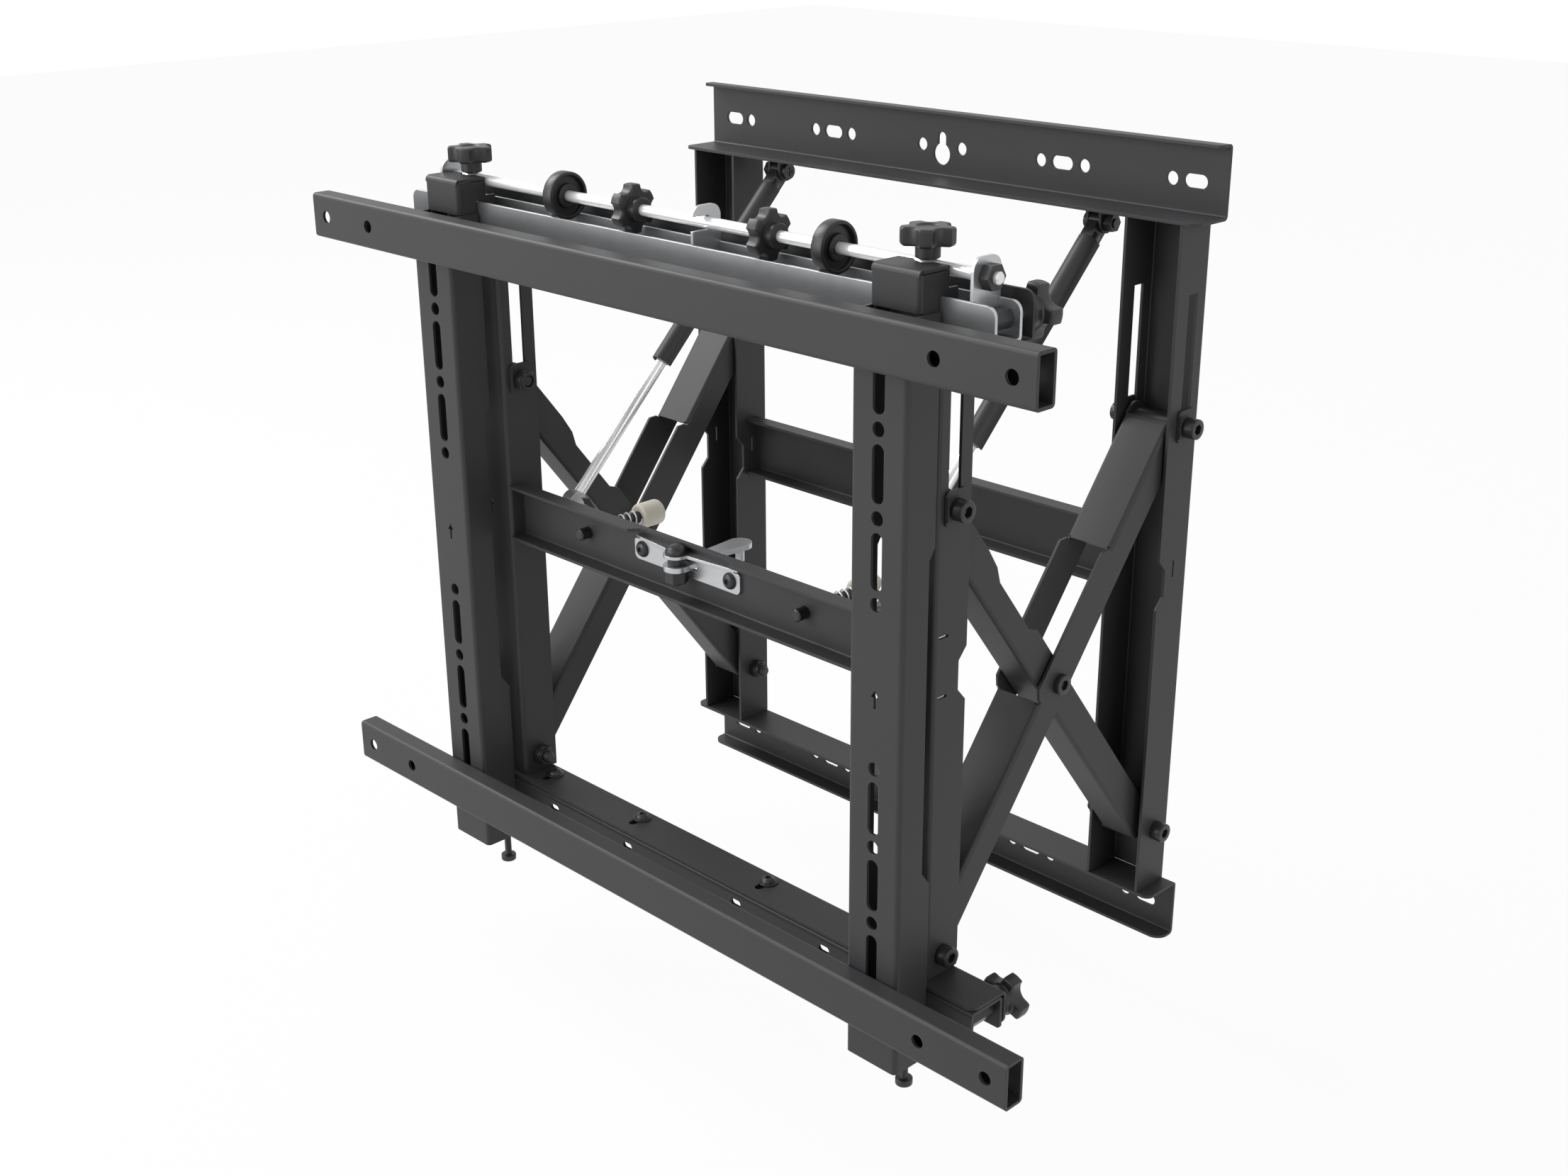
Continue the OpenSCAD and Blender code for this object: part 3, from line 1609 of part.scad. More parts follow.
// A pair of slider plates, outside and inside an upright's flanges
module slider_pair(place) {
  low = place - [slider_width / 2, slider_height / 2 - 1];
  high = place + [slider_width / 2, slider_height / 2 + 1];
  outside = upright_outer + turn_gap;
  inside = upright_inner - turn_gap - sheet;
  plate = sheet - 0.6;
  difference() {
    union() {
      for (x0 = [outside, inside + sheet - plate])
        along_x(x0, x0 + plate) round_rect(low, high, [3, 3, 3, 3]);
      along_x(outside, outside + sheet) translate(place) circle(d = slider_boss);
      along_x(inside, inside + sheet) translate(place) circle(d = slider_boss);
      box([outside, low[0], low[1] + 3], [outside + plate + slider_lip, low[0] + 0.9, high[1] - 3]);
      box([inside - slider_lip + sheet - plate, low[0], low[1] + 3], [inside + sheet, low[0] + 0.9, high[1] - 3]);
    }
    bar_x(2 * bolt_bore, inside - over, outside + sheet + over, place);
  }
}

module front_slider_plates() {
  color(black) both_sides() slider_pair([front_pivot, pivot_rise]);
}

module rear_slider_plates() {
  color(black) both_sides() slider_pair([rear_pivot, pivot_rise]);
}

// Wall frame

// A rear upright: a channel open to the front that guides the outer arms
module rear_upright() {
  slit_width = 1.6;
  difference() {
    along_z(-rear_half, rear_half)
      translate([upright_mid, 0]) mirror([0, 1]) channel_outline(upright_width, rear_upright_depth);
    along_x(low_side, high_side) {
      notch_outline(-rear_upright_depth, -rear_notch_depth);
      translate([rear_pivot - rear_slot_width / 2, guide_ends[0]])
        square([rear_slot_width, guide_ends[1] - guide_ends[0]]);
      translate([-rear_crossbar_web - 8, -1.2]) square([slit_width, 11.2]);
    }
    bar_x(2 * bolt_bore, low_side, high_side, [rear_pivot, -pivot_drop]);
  }
}

module rear_upright_left() {
  color(black) left() rear_upright();
}
module rear_upright_right() {
  color(black) rear_upright();
}

// Rear crossbar: a channel open to the front that stops the bumpers
module rear_crossbar() {
  middle = (rear_bar_heights[0] + rear_bar_heights[1]) / 2;
  height = rear_bar_heights[1] - rear_bar_heights[0];
  color(black)
    along_x(-upright_inner, upright_inner)
      translate([-rear_crossbar_web, middle]) rotate(90) channel_outline(height, rear_crossbar_front - rear_crossbar_web);
}

// The slots and round holes of a wall rail, along its length
module wall_openings() {
  for (side = [-1, 1]) {
    for (place = wall_slot_places) translate([side * place, 0]) slot(wall_slot_length, screw_hole);
    for (place = wall_hole_places) translate([side * place, 0]) circle(d = screw_hole);
  }
}

// Keyhole in the middle of the top wall rail, with a round hole on each side
module keyhole() {
  translate([0, -key_drop]) circle(d = key_diameter);
  translate([0, key_rise]) circle(d = key_neck);
  translate([-key_neck / 2, -key_drop]) square([key_neck, key_drop + key_rise]);
  for (side = [-1, 1]) translate([side * key_hole_place, 0]) circle(d = screw_hole);
}

// A wall rail: its web on the wall, a wide flange below and a lip above. Children are cut
// from the web.
module wall_rail(edge, lip, lip_corner) {
  half = wall_rail_length / 2;
  foot = rear_half;
  difference() {
    along_x(-half, half)
      difference() {
        round_rect([-flange_depth, foot], [0, edge], [0, bend, bend, 0]);
        round_rect(
          [-flange_depth - over, foot + sheet], [-sheet, edge - sheet],
          [0, bend - sheet, bend - sheet, 0]
        );
        translate([-flange_depth - over, edge - sheet - over])
          square([flange_depth + over - lip, sheet + 2 * over]);
      }
    for (side = [-1, 1]) {
      along_z(foot - over, foot + sheet + over)
        corner_sliver([side * half, -flange_depth], [side, -1], rail_corner);
      along_z(edge - sheet - over, edge + over) corner_sliver([side * half, -lip], [side, -1], lip_corner);
    }
    along_y(-sheet - over, over)
      translate([0, wall_row]) {
        wall_openings();
        children();
      }
  }
}

module top_wall_rail() {
  color(black) wall_rail(top_wall_rail_top, top_lip_depth, bend) keyhole();
}

module bottom_wall_rail() {
  color(black)
    mirror([0, 0, 1]) wall_rail(bottom_wall_rail_edge, bottom_lip_depth, rail_corner + bend);
}

top_wall_rail();
bottom_wall_rail();
rear_upright_left();
rear_upright_right();
rear_crossbar();
strut_hangers();
strut_top_screws();
strut_top_nuts();
inner_arm_left();
inner_arm_right();
inner_arm_bolts();
inner_arm_nuts();
outer_arm_left();
outer_arm_right();
outer_arm_bolts();
outer_arm_nuts();
centre_bolts();
centre_nuts();
slider_sleeves();
rear_slider_plates();
front_slider_plates();
front_upright_left();
front_upright_right();
front_crossbar();
top_outer_rail();
bottom_outer_rail();
rail_screws();
latch_plate();
latch_screws();
latch_bolt();
latch_nut();
latch_lever();
bumper_pins();
bumper_caps();
bumper_springs();
strut_guards();
strut_cylinders();
strut_rods();
strut_rod_eyes();
top_channel();
bottom_channel();
rod_brackets();
channel_spacers();
adjusting_rod();
rod_star_knobs();
rod_nuts();
rod_wheels();
depth_knob_top_left();
depth_knob_top_right();
depth_knob_bottom_left();
depth_knob_bottom_right();
hook_knob_left();
hook_knob_right();
levelling_screw_left();
levelling_screw_right();
display_upright_left();
display_upright_right();
top_display_tube();
bottom_display_tube();
hook_blocks();
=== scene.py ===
"""Pop-out wall mount for one screen of a video wall.

Gives the CAD nodes their finishes, makes the turned, moulded and sprung pieces again with their fine
shapes, and sets the camera, the lamps and the floor.
"""

import logging
import math
from dataclasses import dataclass, field, replace
from enum import Enum
from typing import Callable, Sequence

import bpy
from mathutils import Matrix, Vector

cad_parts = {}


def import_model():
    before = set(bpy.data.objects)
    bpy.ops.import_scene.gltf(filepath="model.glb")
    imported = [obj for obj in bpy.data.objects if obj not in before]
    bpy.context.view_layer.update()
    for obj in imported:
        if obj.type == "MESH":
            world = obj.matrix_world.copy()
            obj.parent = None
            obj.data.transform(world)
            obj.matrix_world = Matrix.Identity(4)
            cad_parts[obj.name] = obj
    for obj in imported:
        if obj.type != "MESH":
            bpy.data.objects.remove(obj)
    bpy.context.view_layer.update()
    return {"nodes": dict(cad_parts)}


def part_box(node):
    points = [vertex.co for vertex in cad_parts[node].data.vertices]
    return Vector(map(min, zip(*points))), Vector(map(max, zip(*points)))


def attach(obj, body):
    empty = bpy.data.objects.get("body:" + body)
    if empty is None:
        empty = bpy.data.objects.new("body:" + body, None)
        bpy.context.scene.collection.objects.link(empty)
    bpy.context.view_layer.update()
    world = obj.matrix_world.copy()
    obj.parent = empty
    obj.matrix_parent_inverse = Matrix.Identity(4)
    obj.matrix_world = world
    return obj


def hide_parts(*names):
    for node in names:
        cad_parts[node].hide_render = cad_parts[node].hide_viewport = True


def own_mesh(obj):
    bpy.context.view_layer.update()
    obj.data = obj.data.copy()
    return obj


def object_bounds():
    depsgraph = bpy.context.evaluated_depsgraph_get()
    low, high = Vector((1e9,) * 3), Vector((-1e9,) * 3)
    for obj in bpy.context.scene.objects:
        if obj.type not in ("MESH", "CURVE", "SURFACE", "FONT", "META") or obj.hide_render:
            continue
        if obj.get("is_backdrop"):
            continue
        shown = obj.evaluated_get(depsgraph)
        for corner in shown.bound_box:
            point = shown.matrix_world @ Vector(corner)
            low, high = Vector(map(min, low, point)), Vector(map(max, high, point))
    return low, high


logging.basicConfig(level=logging.INFO, format="%(message)s")
log = logging.getLogger("wall_mount")

MM = 0.001
FULL_TURN = 2 * math.pi
SMOOTH_ANGLE = math.radians(32)
WHITE = (1.0, 1.0, 1.0, 1.0)
# A ring can't shrink to a point, so it closes at this radius in millimetres
CLOSED_END = 0.05

Point = Sequence[float]
Profile = list[tuple[float, float]]
Settings = dict[str, object]
Sockets = dict[str | int, object]


class Axis(Enum):
    """The direction in which a turned or moulded piece is built."""

    LEFT = (-1.0, 0.0, 0.0)
    RIGHT = (1.0, 0.0, 0.0)
    FRONT = (0.0, -1.0, 0.0)
    BACK = (0.0, 1.0, 0.0)
    UP = (0.0, 0.0, 1.0)

    def turn(self) -> Matrix:
        """The rotation that takes +Z onto this direction."""
        return Vector((0, 0, 1)).rotation_difference(Vector(self.value)).to_matrix().to_4x4()


Spot = tuple[Point, Axis]


class Surface(Enum):
    """The record's material slots."""

    BLACK_STEEL = "black_steel"
    ZINC = "zinc"
    POLISHED_STEEL = "polished_steel"
    BLACK_OXIDE = "black_oxide"
    BLACK_PLASTIC = "black_plastic"
    IVORY_PLASTIC = "ivory_plastic"


# Node trees and shader maths


class NodeTree:
    """A node tree, and the one method that adds its nodes."""

    def __init__(self, tree: bpy.types.NodeTree) -> None:
        """Empties the tree that nodes are added to."""
        self.tree = tree
        tree.nodes.clear()

    def add(self, kind: str, settings: Settings, sockets: Sockets) -> bpy.types.Node:
        """Adds any node.

        Args:
            kind: The node's type.
            settings: The node's own settings, which are set first.
            sockets: A value or a link for each named or numbered input.

        Returns:
            The node.
        """
        made = self.tree.nodes.new(kind)
        for key, setting in settings.items():
            setattr(made, key, setting)
        for key, given in sockets.items():
            if isinstance(given, Value):
                given = given.socket
            if isinstance(given, bpy.types.NodeSocket):
                self.tree.links.new(given, made.inputs[key])
            else:
                made.inputs[key].default_value = given
        return made


class Value:
    """One output of a shader tree, on which Python's operators add Math nodes."""

    def __init__(self, tree: "ShaderTree", socket: bpy.types.NodeSocket) -> None:
        """Wraps an output socket of a tree."""
        self.tree = tree
        self.socket = socket

    def __add__(self, other: "Value | float") -> "Value":
        """This value and another."""
        return self.tree.math("ADD", self, other)

    def __radd__(self, other: float) -> "Value":
        """A number and this value."""
        return self.tree.math("ADD", other, self)

    def __sub__(self, other: "Value | float") -> "Value":
        """This value less another."""
        return self.tree.math("SUBTRACT", self, other)

    def __rsub__(self, other: float) -> "Value":
        """A number less this value."""
        return self.tree.math("SUBTRACT", other, self)

    def __mul__(self, other: "Value | float") -> "Value":
        """This value times another."""
        return self.tree.math("MULTIPLY", self, other)

    def __rmul__(self, other: float) -> "Value":
        """A number times this value."""
        return self.tree.math("MULTIPLY", other, self)


class ShaderTree(NodeTree):
    """The shader of a new material or world."""

    def __init__(self, owner: bpy.types.Material | bpy.types.World) -> None:
        """Empties the owner's shader."""
        owner.use_nodes = True
        super().__init__(owner.node_tree)

    def value(self, kind: str, settings: Settings, sockets: Sockets, output: str | int = 0) -> Value:
        """Adds a node, and gives one of its outputs by name or number."""
        return Value(self, self.add(kind, settings, sockets).outputs[output])

    def math(self, operation: str, first: Value | float, second: Value | float) -> Value:
        """The result of one Math node."""
        return self.value("ShaderNodeMath", {"operation": operation}, {0: first, 1: second})

    def place(self, stretch: Point = (1.0, 1.0, 1.0)) -> Value:
        """Object coordinates, with a scale for each direction."""
        at = self.value("ShaderNodeTexCoord", {}, {}, "Object")
        return self.value("ShaderNodeMapping", {}, {"Vector": at, "Scale": tuple(stretch)})

    def noise(self, scale: float, detail: float, stretch: Point = (1.0, 1.0, 1.0)) -> Value:
        """Noise from 0 to 1 in the object's space, of so many spots in a metre."""
        sockets = {"Vector": self.place(stretch), "Scale": scale, "Detail": detail}
        return self.value("ShaderNodeTexNoise", {}, sockets, "Fac")

    def seen(self) -> Value:
        """What a viewer sees, straight, in a reflection or through glass.

        Returns:
            1 for such a ray, and otherwise 0.
        """
        camera, glossy, clear = (
            self.value("ShaderNodeLightPath", {}, {}, ray)
            for ray in ("Is Camera Ray", "Is Glossy Ray", "Is Transmission Ray")
        )
        return self.math("MAXIMUM", self.math("MAXIMUM", camera, glossy), clear)


# Finishes


@dataclass(frozen=True)
class Finish:
    """A finish that a maker would order, with its colour and gloss.

    Lengths are in metres. Clouds and grain are in spots in a metre.
    """

    name: str
    colour: tuple[float, float, float]
    roughness: float
    metallic: float = 0.0
    specular: float = 0.5
    shade: float = 0.12
    gloss_change: float = 0.06
    clouds: float = 14.0
    grain: float = 900.0
    grain_share: float = 0.4
    stretch: tuple[float, float, float] = (1.0, 1.0, 1.0)
    relief: float = 0.00003
    relief_share: float = 0.35
    edge: float = 0.0005

    def pattern(self, tree: ShaderTree) -> Value:
        """The broad pattern under the grain, from 0 to 1."""
        return tree.noise(self.clouds, 3.0)

    def material(self) -> bpy.types.Material:
        """Builds the finish.

        Returns:
            The material.
        """
        made = bpy.data.materials.new(self.name)
        tree = ShaderTree(made)
        grain = tree.noise(self.grain, 2.0, self.stretch)
        share = (1 - self.grain_share) * self.pattern(tree) + self.grain_share * grain
        low, high = (
            (*(part * level for part in self.colour), 1.0) for level in (1 - self.shade, 1 + self.shade)
        )
        mix = {"data_type": "RGBA", "clamp_factor": True}
        colour = tree.value("ShaderNodeMix", mix, {"Factor": share, 6: low, 7: high}, 2)
        softened = tree.value("ShaderNodeBevel", {"samples": 4}, {"Radius": self.edge})
        normal = tree.value("ShaderNodeBump", {}, {
            "Strength": self.relief_share, "Distance": self.relief, "Height": grain, "Normal": softened,
        })
        shader = tree.value("ShaderNodeBsdfPrincipled", {}, {
            "Base Color": colour,
            "Roughness": self.roughness + 2 * self.gloss_change * (share - 0.5),
            "Metallic": self.metallic,
            "Specular IOR Level": self.specular,
            "Normal": normal,
        })
        tree.add("ShaderNodeOutputMaterial", {}, {"Surface": shader})
        return made


@dataclass(frozen=True)
class SpangledFinish(Finish):
    """Zinc plate: a metal with a faint crystal pattern of so many cells in a metre."""

    grain_share: float = 0.45
    relief_share: float = 0.25
    cells: float = 160.0

    def pattern(self, tree: ShaderTree) -> Value:
        """The crystals of the zinc.

        Args:
            tree: The shader that they are added to.

        Returns:
            A shade from 0 to 1 for each crystal.
        """
        sockets = {"Vector": tree.place(), "Scale": self.cells}
        crystals = tree.value("ShaderNodeTexVoronoi", {"feature": "F1"}, sockets, "Color")
        return tree.value("ShaderNodeRGBToBW", {}, {"Color": crystals})


FINISHES: dict[Surface, Finish] = {
    Surface.BLACK_STEEL: Finish(
        "charcoal powder coat", (0.034, 0.034, 0.036), 0.46, specular=0.28, grain=1500.0,
    ),
    Surface.ZINC: SpangledFinish(
        "bright zinc plate", (0.50, 0.51, 0.52), 0.30, metallic=0.85, shade=0.02, gloss_change=0.02,
        grain=120.0, relief=0.000002,
    ),
    Surface.POLISHED_STEEL: Finish(
        "polished steel", (0.90, 0.90, 0.91), 0.18, metallic=0.35, shade=0.02, gloss_change=0.03,
        grain=500.0, relief=0.000004, stretch=(0.06, 1.0, 1.0),
    ),
    Surface.BLACK_OXIDE: Finish(
        "black oxide", (0.022, 0.022, 0.023), 0.36, metallic=0.2, grain=1200.0, relief=0.00001,
    ),
    Surface.BLACK_PLASTIC: Finish(
        "moulded black nylon", (0.020, 0.020, 0.021), 0.40, specular=0.4, grain=1100.0, relief=0.00002,
    ),
    Surface.IVORY_PLASTIC: Finish(
        "moulded ivory nylon", (0.78, 0.74, 0.63), 0.45, shade=0.04, grain=700.0, relief=0.00001,
    ),
}

ZINC_NODES = ("top_channel", "rod_brackets", "latch_plate", "latch_lever", "strut_rod_eyes")
POLISHED_NODES = ("adjusting_rod", "strut_rods", "bumper_springs")
OXIDE_WORDS = ("bolt", "nut", "screw", "sleeve", "spacer", "bumper_pins", "strut_cylinders")


def surface_of(name: str) -> Surface:
    """The surface of a CAD node, from its name.

    Args:
        name: The node's name.

    Returns:
        Its surface.
    """
    if name in ZINC_NODES:
        return Surface.ZINC
    if name in POLISHED_NODES:
        return Surface.POLISHED_STEEL
    if name == "bumper_caps":
        return Surface.IVORY_PLASTIC
    if "knob" in name or name == "rod_wheels":
        return Surface.BLACK_PLASTIC
    if any(word in name for word in OXIDE_WORDS):
        return Surface.BLACK_OXIDE
    return Surface.BLACK_STEEL


# Meshes


def millimetres(node: str) -> tuple[Vector, Vector]:
    """The lowest and highest corner of a CAD node, in millimetres."""
    low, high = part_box(node)
    return Vector(low) / MM, Vector(high) / MM


def linked(name: str, data: bpy.types.ID) -> bpy.types.Object:
    """Puts a mesh, lamp or camera in the scene.

    Args:
        name: The object's name.
        data: What it holds.

    Returns:
        The object.
    """
    made = bpy.data.objects.new(name, data)
    bpy.context.scene.collection.objects.link(made)
    return made


def moved(axis: Axis, place: Point) -> Matrix:
    """The matrix that turns +Z onto an axis and moves the origin to a place."""
    return Matrix.Translation(Vector(place)) @ axis.turn()


def hexagon(flats: float, angle: float) -> float:
    """The reach of a hexagon of a width across flats, in one direction."""
    return flats / 2 / math.cos(angle % (math.pi / 3) - math.pi / 6)


def ring(reach: Callable[[float], float], height: float, place: Matrix, segments: int) -> list[Vector]:
    """One ring of points round the local Z axis.

    Args:
        reach: Gives the ring's radius for an angle.
        height: The ring's height.
        place: The rotation and place of the piece.
        segments: Points in the ring.

    Returns:
        The points, anticlockwise as seen from above.
    """
    points = []
    for side in range(segments):
        angle = FULL_TURN * side / segments
        radius = reach(angle)
        points.append(place @ Vector((radius * math.cos(angle), radius * math.sin(angle), height)))
    return points


def rounded(radius: float, low: float, high: float, edge: float, steps: int = 4) -> Profile:
    """The profile of a disc with rounded edges.

    Args:
        radius: The disc's radius.
        low: The height of its underside.
        high: The height of its upper side.
        edge: The radius of the two edges.
        steps: Points in a quarter round.

    Returns:
        Radius and height of each point.
    """
    quarter = [math.pi / 2 * step / steps for step in range(steps + 1)]
    flat = radius - edge
    lower = [(flat + edge * math.sin(turn), low + edge - edge * math.cos(turn)) for turn in quarter]
    upper = [(flat + edge * math.cos(turn), high - edge + edge * math.sin(turn)) for turn in quarter]
    return lower + upper


def thread(radius: float, low: float, high: float, pitch: float, depth: float) -> Profile:
    """The profile of a threaded end: ridges with a chamfer at the top.

    Args:
        radius: Outer radius of the thread.
        low: Height of its start.
        high: Height of its end.
        pitch: Distance between ridges.
        depth: Depth of the grooves.

    Returns:
        Radius and height of each point.
    """
    ridges = max(1, int((high - low - depth) / pitch))
    step = (high - low - depth) / ridges
    profile: Profile = []
    for ridge in range(ridges):
        start = low + ridge * step
        profile += [(radius - depth, start), (radius, start + step * 0.4), (radius, start + step * 0.6)]
    return profile + [(radius - depth * 0.4, high - depth), (radius - 1.4 * depth, high)]


@dataclass
class Shape:
    """Points and faces of a piece under construction, in millimetres."""

    points: list[Vector] = field(default_factory=list)
    faces: list[list[int]] = field(default_factory=list)
    surfaces: list[int] = field(default_factory=list)

    def rings(self, rings: Sequence[Sequence[Vector]], surface: int = 0, closed: bool = False) -> None:
        """Joins rings of equally many points, and caps the first and the last ring.

        Args:
            rings: The rings, anticlockwise as seen from the end that they lead to.
            surface: The material's number.
            closed: True if the last ring joins the first, as on a part with a bore.
        """
        base, count = len(self.points), len(rings[0])
        faces: list[list[int]] = []
        for start in range(len(rings) if closed else len(rings) - 1):
            here = base + start * count
            there = base + (start + 1) % len(rings) * count
            for side in range(count):
                after = (side + 1) % count
                faces.append([here + side, here + after, there + after, there + side])
        if not closed:
            last = base + (len(rings) - 1) * count
            faces.append(list(reversed(range(base, base + count))))
            faces.append(list(range(last, last + count)))
        self.points += [point for points in rings for point in points]
        self.faces += faces
        self.surfaces += [surface] * len(faces)

    def turned(self, profile: Profile, place: Matrix, surface: int = 0, segments: int = 48,
               closed: bool = False) -> None:
        """Adds a body of revolution round the local Z axis.

        Args:
            profile: Radius and height of each ring, from the bottom up.
            place: The rotation and place of the body.
            surface: The material's number.
            segments: Points in a ring.
            closed: True if the profile is a closed loop round a bore.
        """
        rings = [ring(lambda _: radius, height, place, segments) for radius, height in profile]
        self.rings(rings, surface, closed)

    def object(self, name: str, materials: Sequence[bpy.types.Material]) -> bpy.types.Object:
        """Makes the object, at the origin and with its place in its mesh.

        Args:
            name: The object's name.
            materials: Its materials, in order.

        Returns:
            The new object.
        """
        mesh = bpy.data.meshes.new(name)
        mesh.from_pydata([point * MM for point in self.points], [], self.faces)
        for material in materials:
            mesh.materials.append(material)
        mesh.polygons.foreach_set("material_index", self.surfaces)
        mesh.shade_smooth()
        mesh.set_sharp_from_angle(angle=SMOOTH_ANGLE)
        mesh.validate()
        mesh.update()
        return linked(name, mesh)


def join_frame(piece: bpy.types.Object, body: str, surface: Surface, *nodes: str) -> None:
    """Ties a finished piece to the frame.

    Args:
        piece: The piece.
        body: The CAD body that it moves with.
        surface: Not used.
        nodes: The CAD nodes that it stands for.
    """
    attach(piece, body)
    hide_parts(*nodes)
    log.info("%s: %d faces, rides on %s", piece.name, len(piece.data.polygons), body)


class Paintbox:
    """The finished materials, each made once."""

    def __init__(self) -> None:
        """Builds all the finishes."""
        self.materials = {surface: finish.material() for surface, finish in FINISHES.items()}

    def dress_frame(self, nodes: dict[str, bpy.types.Object]) -> None:
        """Gives every carried-over node its finish.

        Args:
            nodes: The CAD objects by name.
        """
        for name, node in nodes.items():
            material = self.materials[surface_of(name)]
            for held in node.material_slots:
                held.material = material
            if not node.material_slots:
                node.data.materials.append(material)

    def piece(self, shape: Shape, name: str, body: str, node: str, *surfaces: Surface) -> None:
        """Makes a piece that moves with a body and stands for a node, with its main surface first."""
        made = shape.object(name, [self.materials[surface] for surface in surfaces])
        join_frame(made, body, surfaces[0], node)


# Knobs and wheels


@dataclass(frozen=True)
class StarGrip:
    """The lobed grip of a moulded knob."""

    diameter: float
    lobes: int
    bite: float
    thick: float
    edge: float = 1.7
    turn: float = 0.0
    softness: float = 1.1
    segments: int = 120

    def reach(self, angle: float) -> float:
        """The grip's radius in a direction.

        Args:
            angle: The direction in radians.

        Returns:
            The radius in millimetres, blended where a lobe turns into a hollow.
        """
        radius = self.diameter / 2
        share = FULL_TURN / self.lobes
        off = (angle - math.radians(self.turn)) % share - share / 2
        centre = radius + self.bite * 0.35
        inside = self.bite ** 2 - (centre * math.sin(off)) ** 2
        if inside <= 0:
            return radius
        hollow = centre * math.cos(off) - math.sqrt(inside)
        gap = max(0.0, 1 - abs(radius - hollow) / (2 * self.softness))
        return min(radius, hollow) - self.softness * gap * gap / 2

    def rings(self, low: float, place: Matrix) -> list[list[Vector]]:
        """The rings of the grip, with rounded upper and lower edges and a dished top.

        Args:
            low: Height of the underside.
            place: The rotation and place of the knob.

        Returns:
            The rings from the bottom up.
        """
        high = low + self.thick
        under = [(-self.diameter * 0.3, low)]
        sinks = ((0.27, 0.0), (0.31, 0.9), (0.45, 1.0))
        dish = [(-self.diameter * inset, high - sunk) for inset, sunk in sinks]
        rings = []
        for inset, height in under + rounded(0.0, low, high, self.edge) + dish:
            # The edge follows the lobes, the underside's middle and the dish are round
            outline = self.reach if inset >= -self.edge - 0.1 else (lambda _: self.diameter / 2)
            rings.append(ring(lambda angle: max(outline(angle) + inset, 0.3), height, place, self.segments))
        return rings


@dataclass
class KnobSet:
    """The star knobs of the mount, each on its own node's place."""

    paint: Paintbox
    neck_radius: float = 6.8
    depth_hub_radius: float = 9.5
    depth_hub_length: float = 5.8
    depth_turns: tuple[tuple[str, float], ...] = (("top", 5.0), ("bottom", 20.0))
    screw_radius: float = 3.0
    tip_gap: float = 0.2
    rod_hub_radius: float = 7.5
    rod_hub_length: float = 5.0
    rod_bore: float = 3.55
    hook_grip: StarGrip = StarGrip(30.0, 5, 6.4, 10.0, turn=18.0)
    depth_grip: StarGrip = StarGrip(31.0, 4, 9.0, 10.0, edge=2.0)
    rod_grip: StarGrip = StarGrip(30.0, 6, 5.0, 9.0, edge=1.5)

    def hook_knob(self, side: str) -> None:
        """Builds one knob on top of a hook block.

        Args:
            side: The name of the side.
        """
        node = f"hook_knob_{side}"
        low, high = millimetres(node)
        centre = (low + high) / 2
        place = moved(Axis.UP, (centre.x, centre.y, 0.0))
        star_low = high.z - self.hook_grip.thick
        neck = self.neck_radius
        shape = Shape()
        profile = [(neck - 1.0, low.z), (neck, low.z + 0.7)]
        profile += [(neck, star_low - 0.6), (neck + 0.8, star_low + 0.3)]
        shape.turned(profile, place)
        shape.rings(self.hook_grip.rings(star_low, place))
        self.paint.piece(shape, f"hook_star_knob_{side}", node, node, Surface.BLACK_PLASTIC)

    def depth_knob(self, row: str, side: str, turn: float) -> None:
        """Builds one knob behind an outer rail, with its screw.

        Args:
            row: top or bottom.
            side: The name of the side.
            turn: The angle in degrees at which its lobes stand.
        """
        node = f"depth_knob_{row}_{side}"
        low, high = millimetres(node)
        centre = (low + high) / 2
        place = moved(Axis.BACK, (centre.x, 0.0, centre.z))
        star_low = high.y - self.depth_grip.thick
        hub_low = star_low - self.depth_hub_length
        hub, screw = self.depth_hub_radius, self.screw_radius
        tip = low.y + self.tip_gap
        shape = Shape()
        profile = [(hub - 0.8, hub_low), (hub, hub_low + 0.8)]
        profile += [(hub, star_low - 1.0), (hub + 1.0, star_low + 0.3)]
        shape.turned(profile, place)
        shape.rings(replace(self.depth_grip, turn=turn).rings(star_low, place))
        shape.turned([(screw - 0.6, tip), (screw, tip + 0.6), (screw, hub_low + 0.5)], place, 1)
        name = f"depth_star_knob_{row}_{side}"
        self.paint.piece(shape, name, node, node, Surface.BLACK_PLASTIC, Surface.ZINC)

    def rod_knobs(self) -> None:
        """Builds the two knobs on the adjusting rod as one piece."""
        node = "rod_star_knobs"
        low, high = millimetres(node)
        grip_end = self.rod_grip.thick
        length = grip_end + self.rod_hub_length
        hub, bore = self.rod_hub_radius, self.rod_bore
        profile = [
            (bore, grip_end - 1.2), (hub + 0.8, grip_end - 1.2), (hub, grip_end + 0.6),
            (hub, length - 0.7), (hub - 0.7, length), (bore, length),
        ]
        shape = Shape()
        for start in (low.x, high.x - length):
            place = moved(Axis.RIGHT, (start, *rod_axis()))
            shape.rings(self.rod_grip.rings(0.0, place))
            shape.turned(profile, place, closed=True)
        self.paint.piece(shape, f"{node}_detailed", "adjusting_rod", node, Surface.BLACK_PLASTIC)

    def build(self) -> None:
        """Builds every knob."""
        for side in ("left", "right"):
            self.hook_knob(side)
            for row, turn in self.depth_turns:
                self.depth_knob(row, side, turn)
        self.rod_knobs()


def rod_axis() -> tuple[float, float]:
    """Y and Z of the adjusting rod's axis, in millimetres."""
    low, high = millimetres("adjusting_rod")
    return (low.y + high.y) / 2, (low.z + high.z) / 2


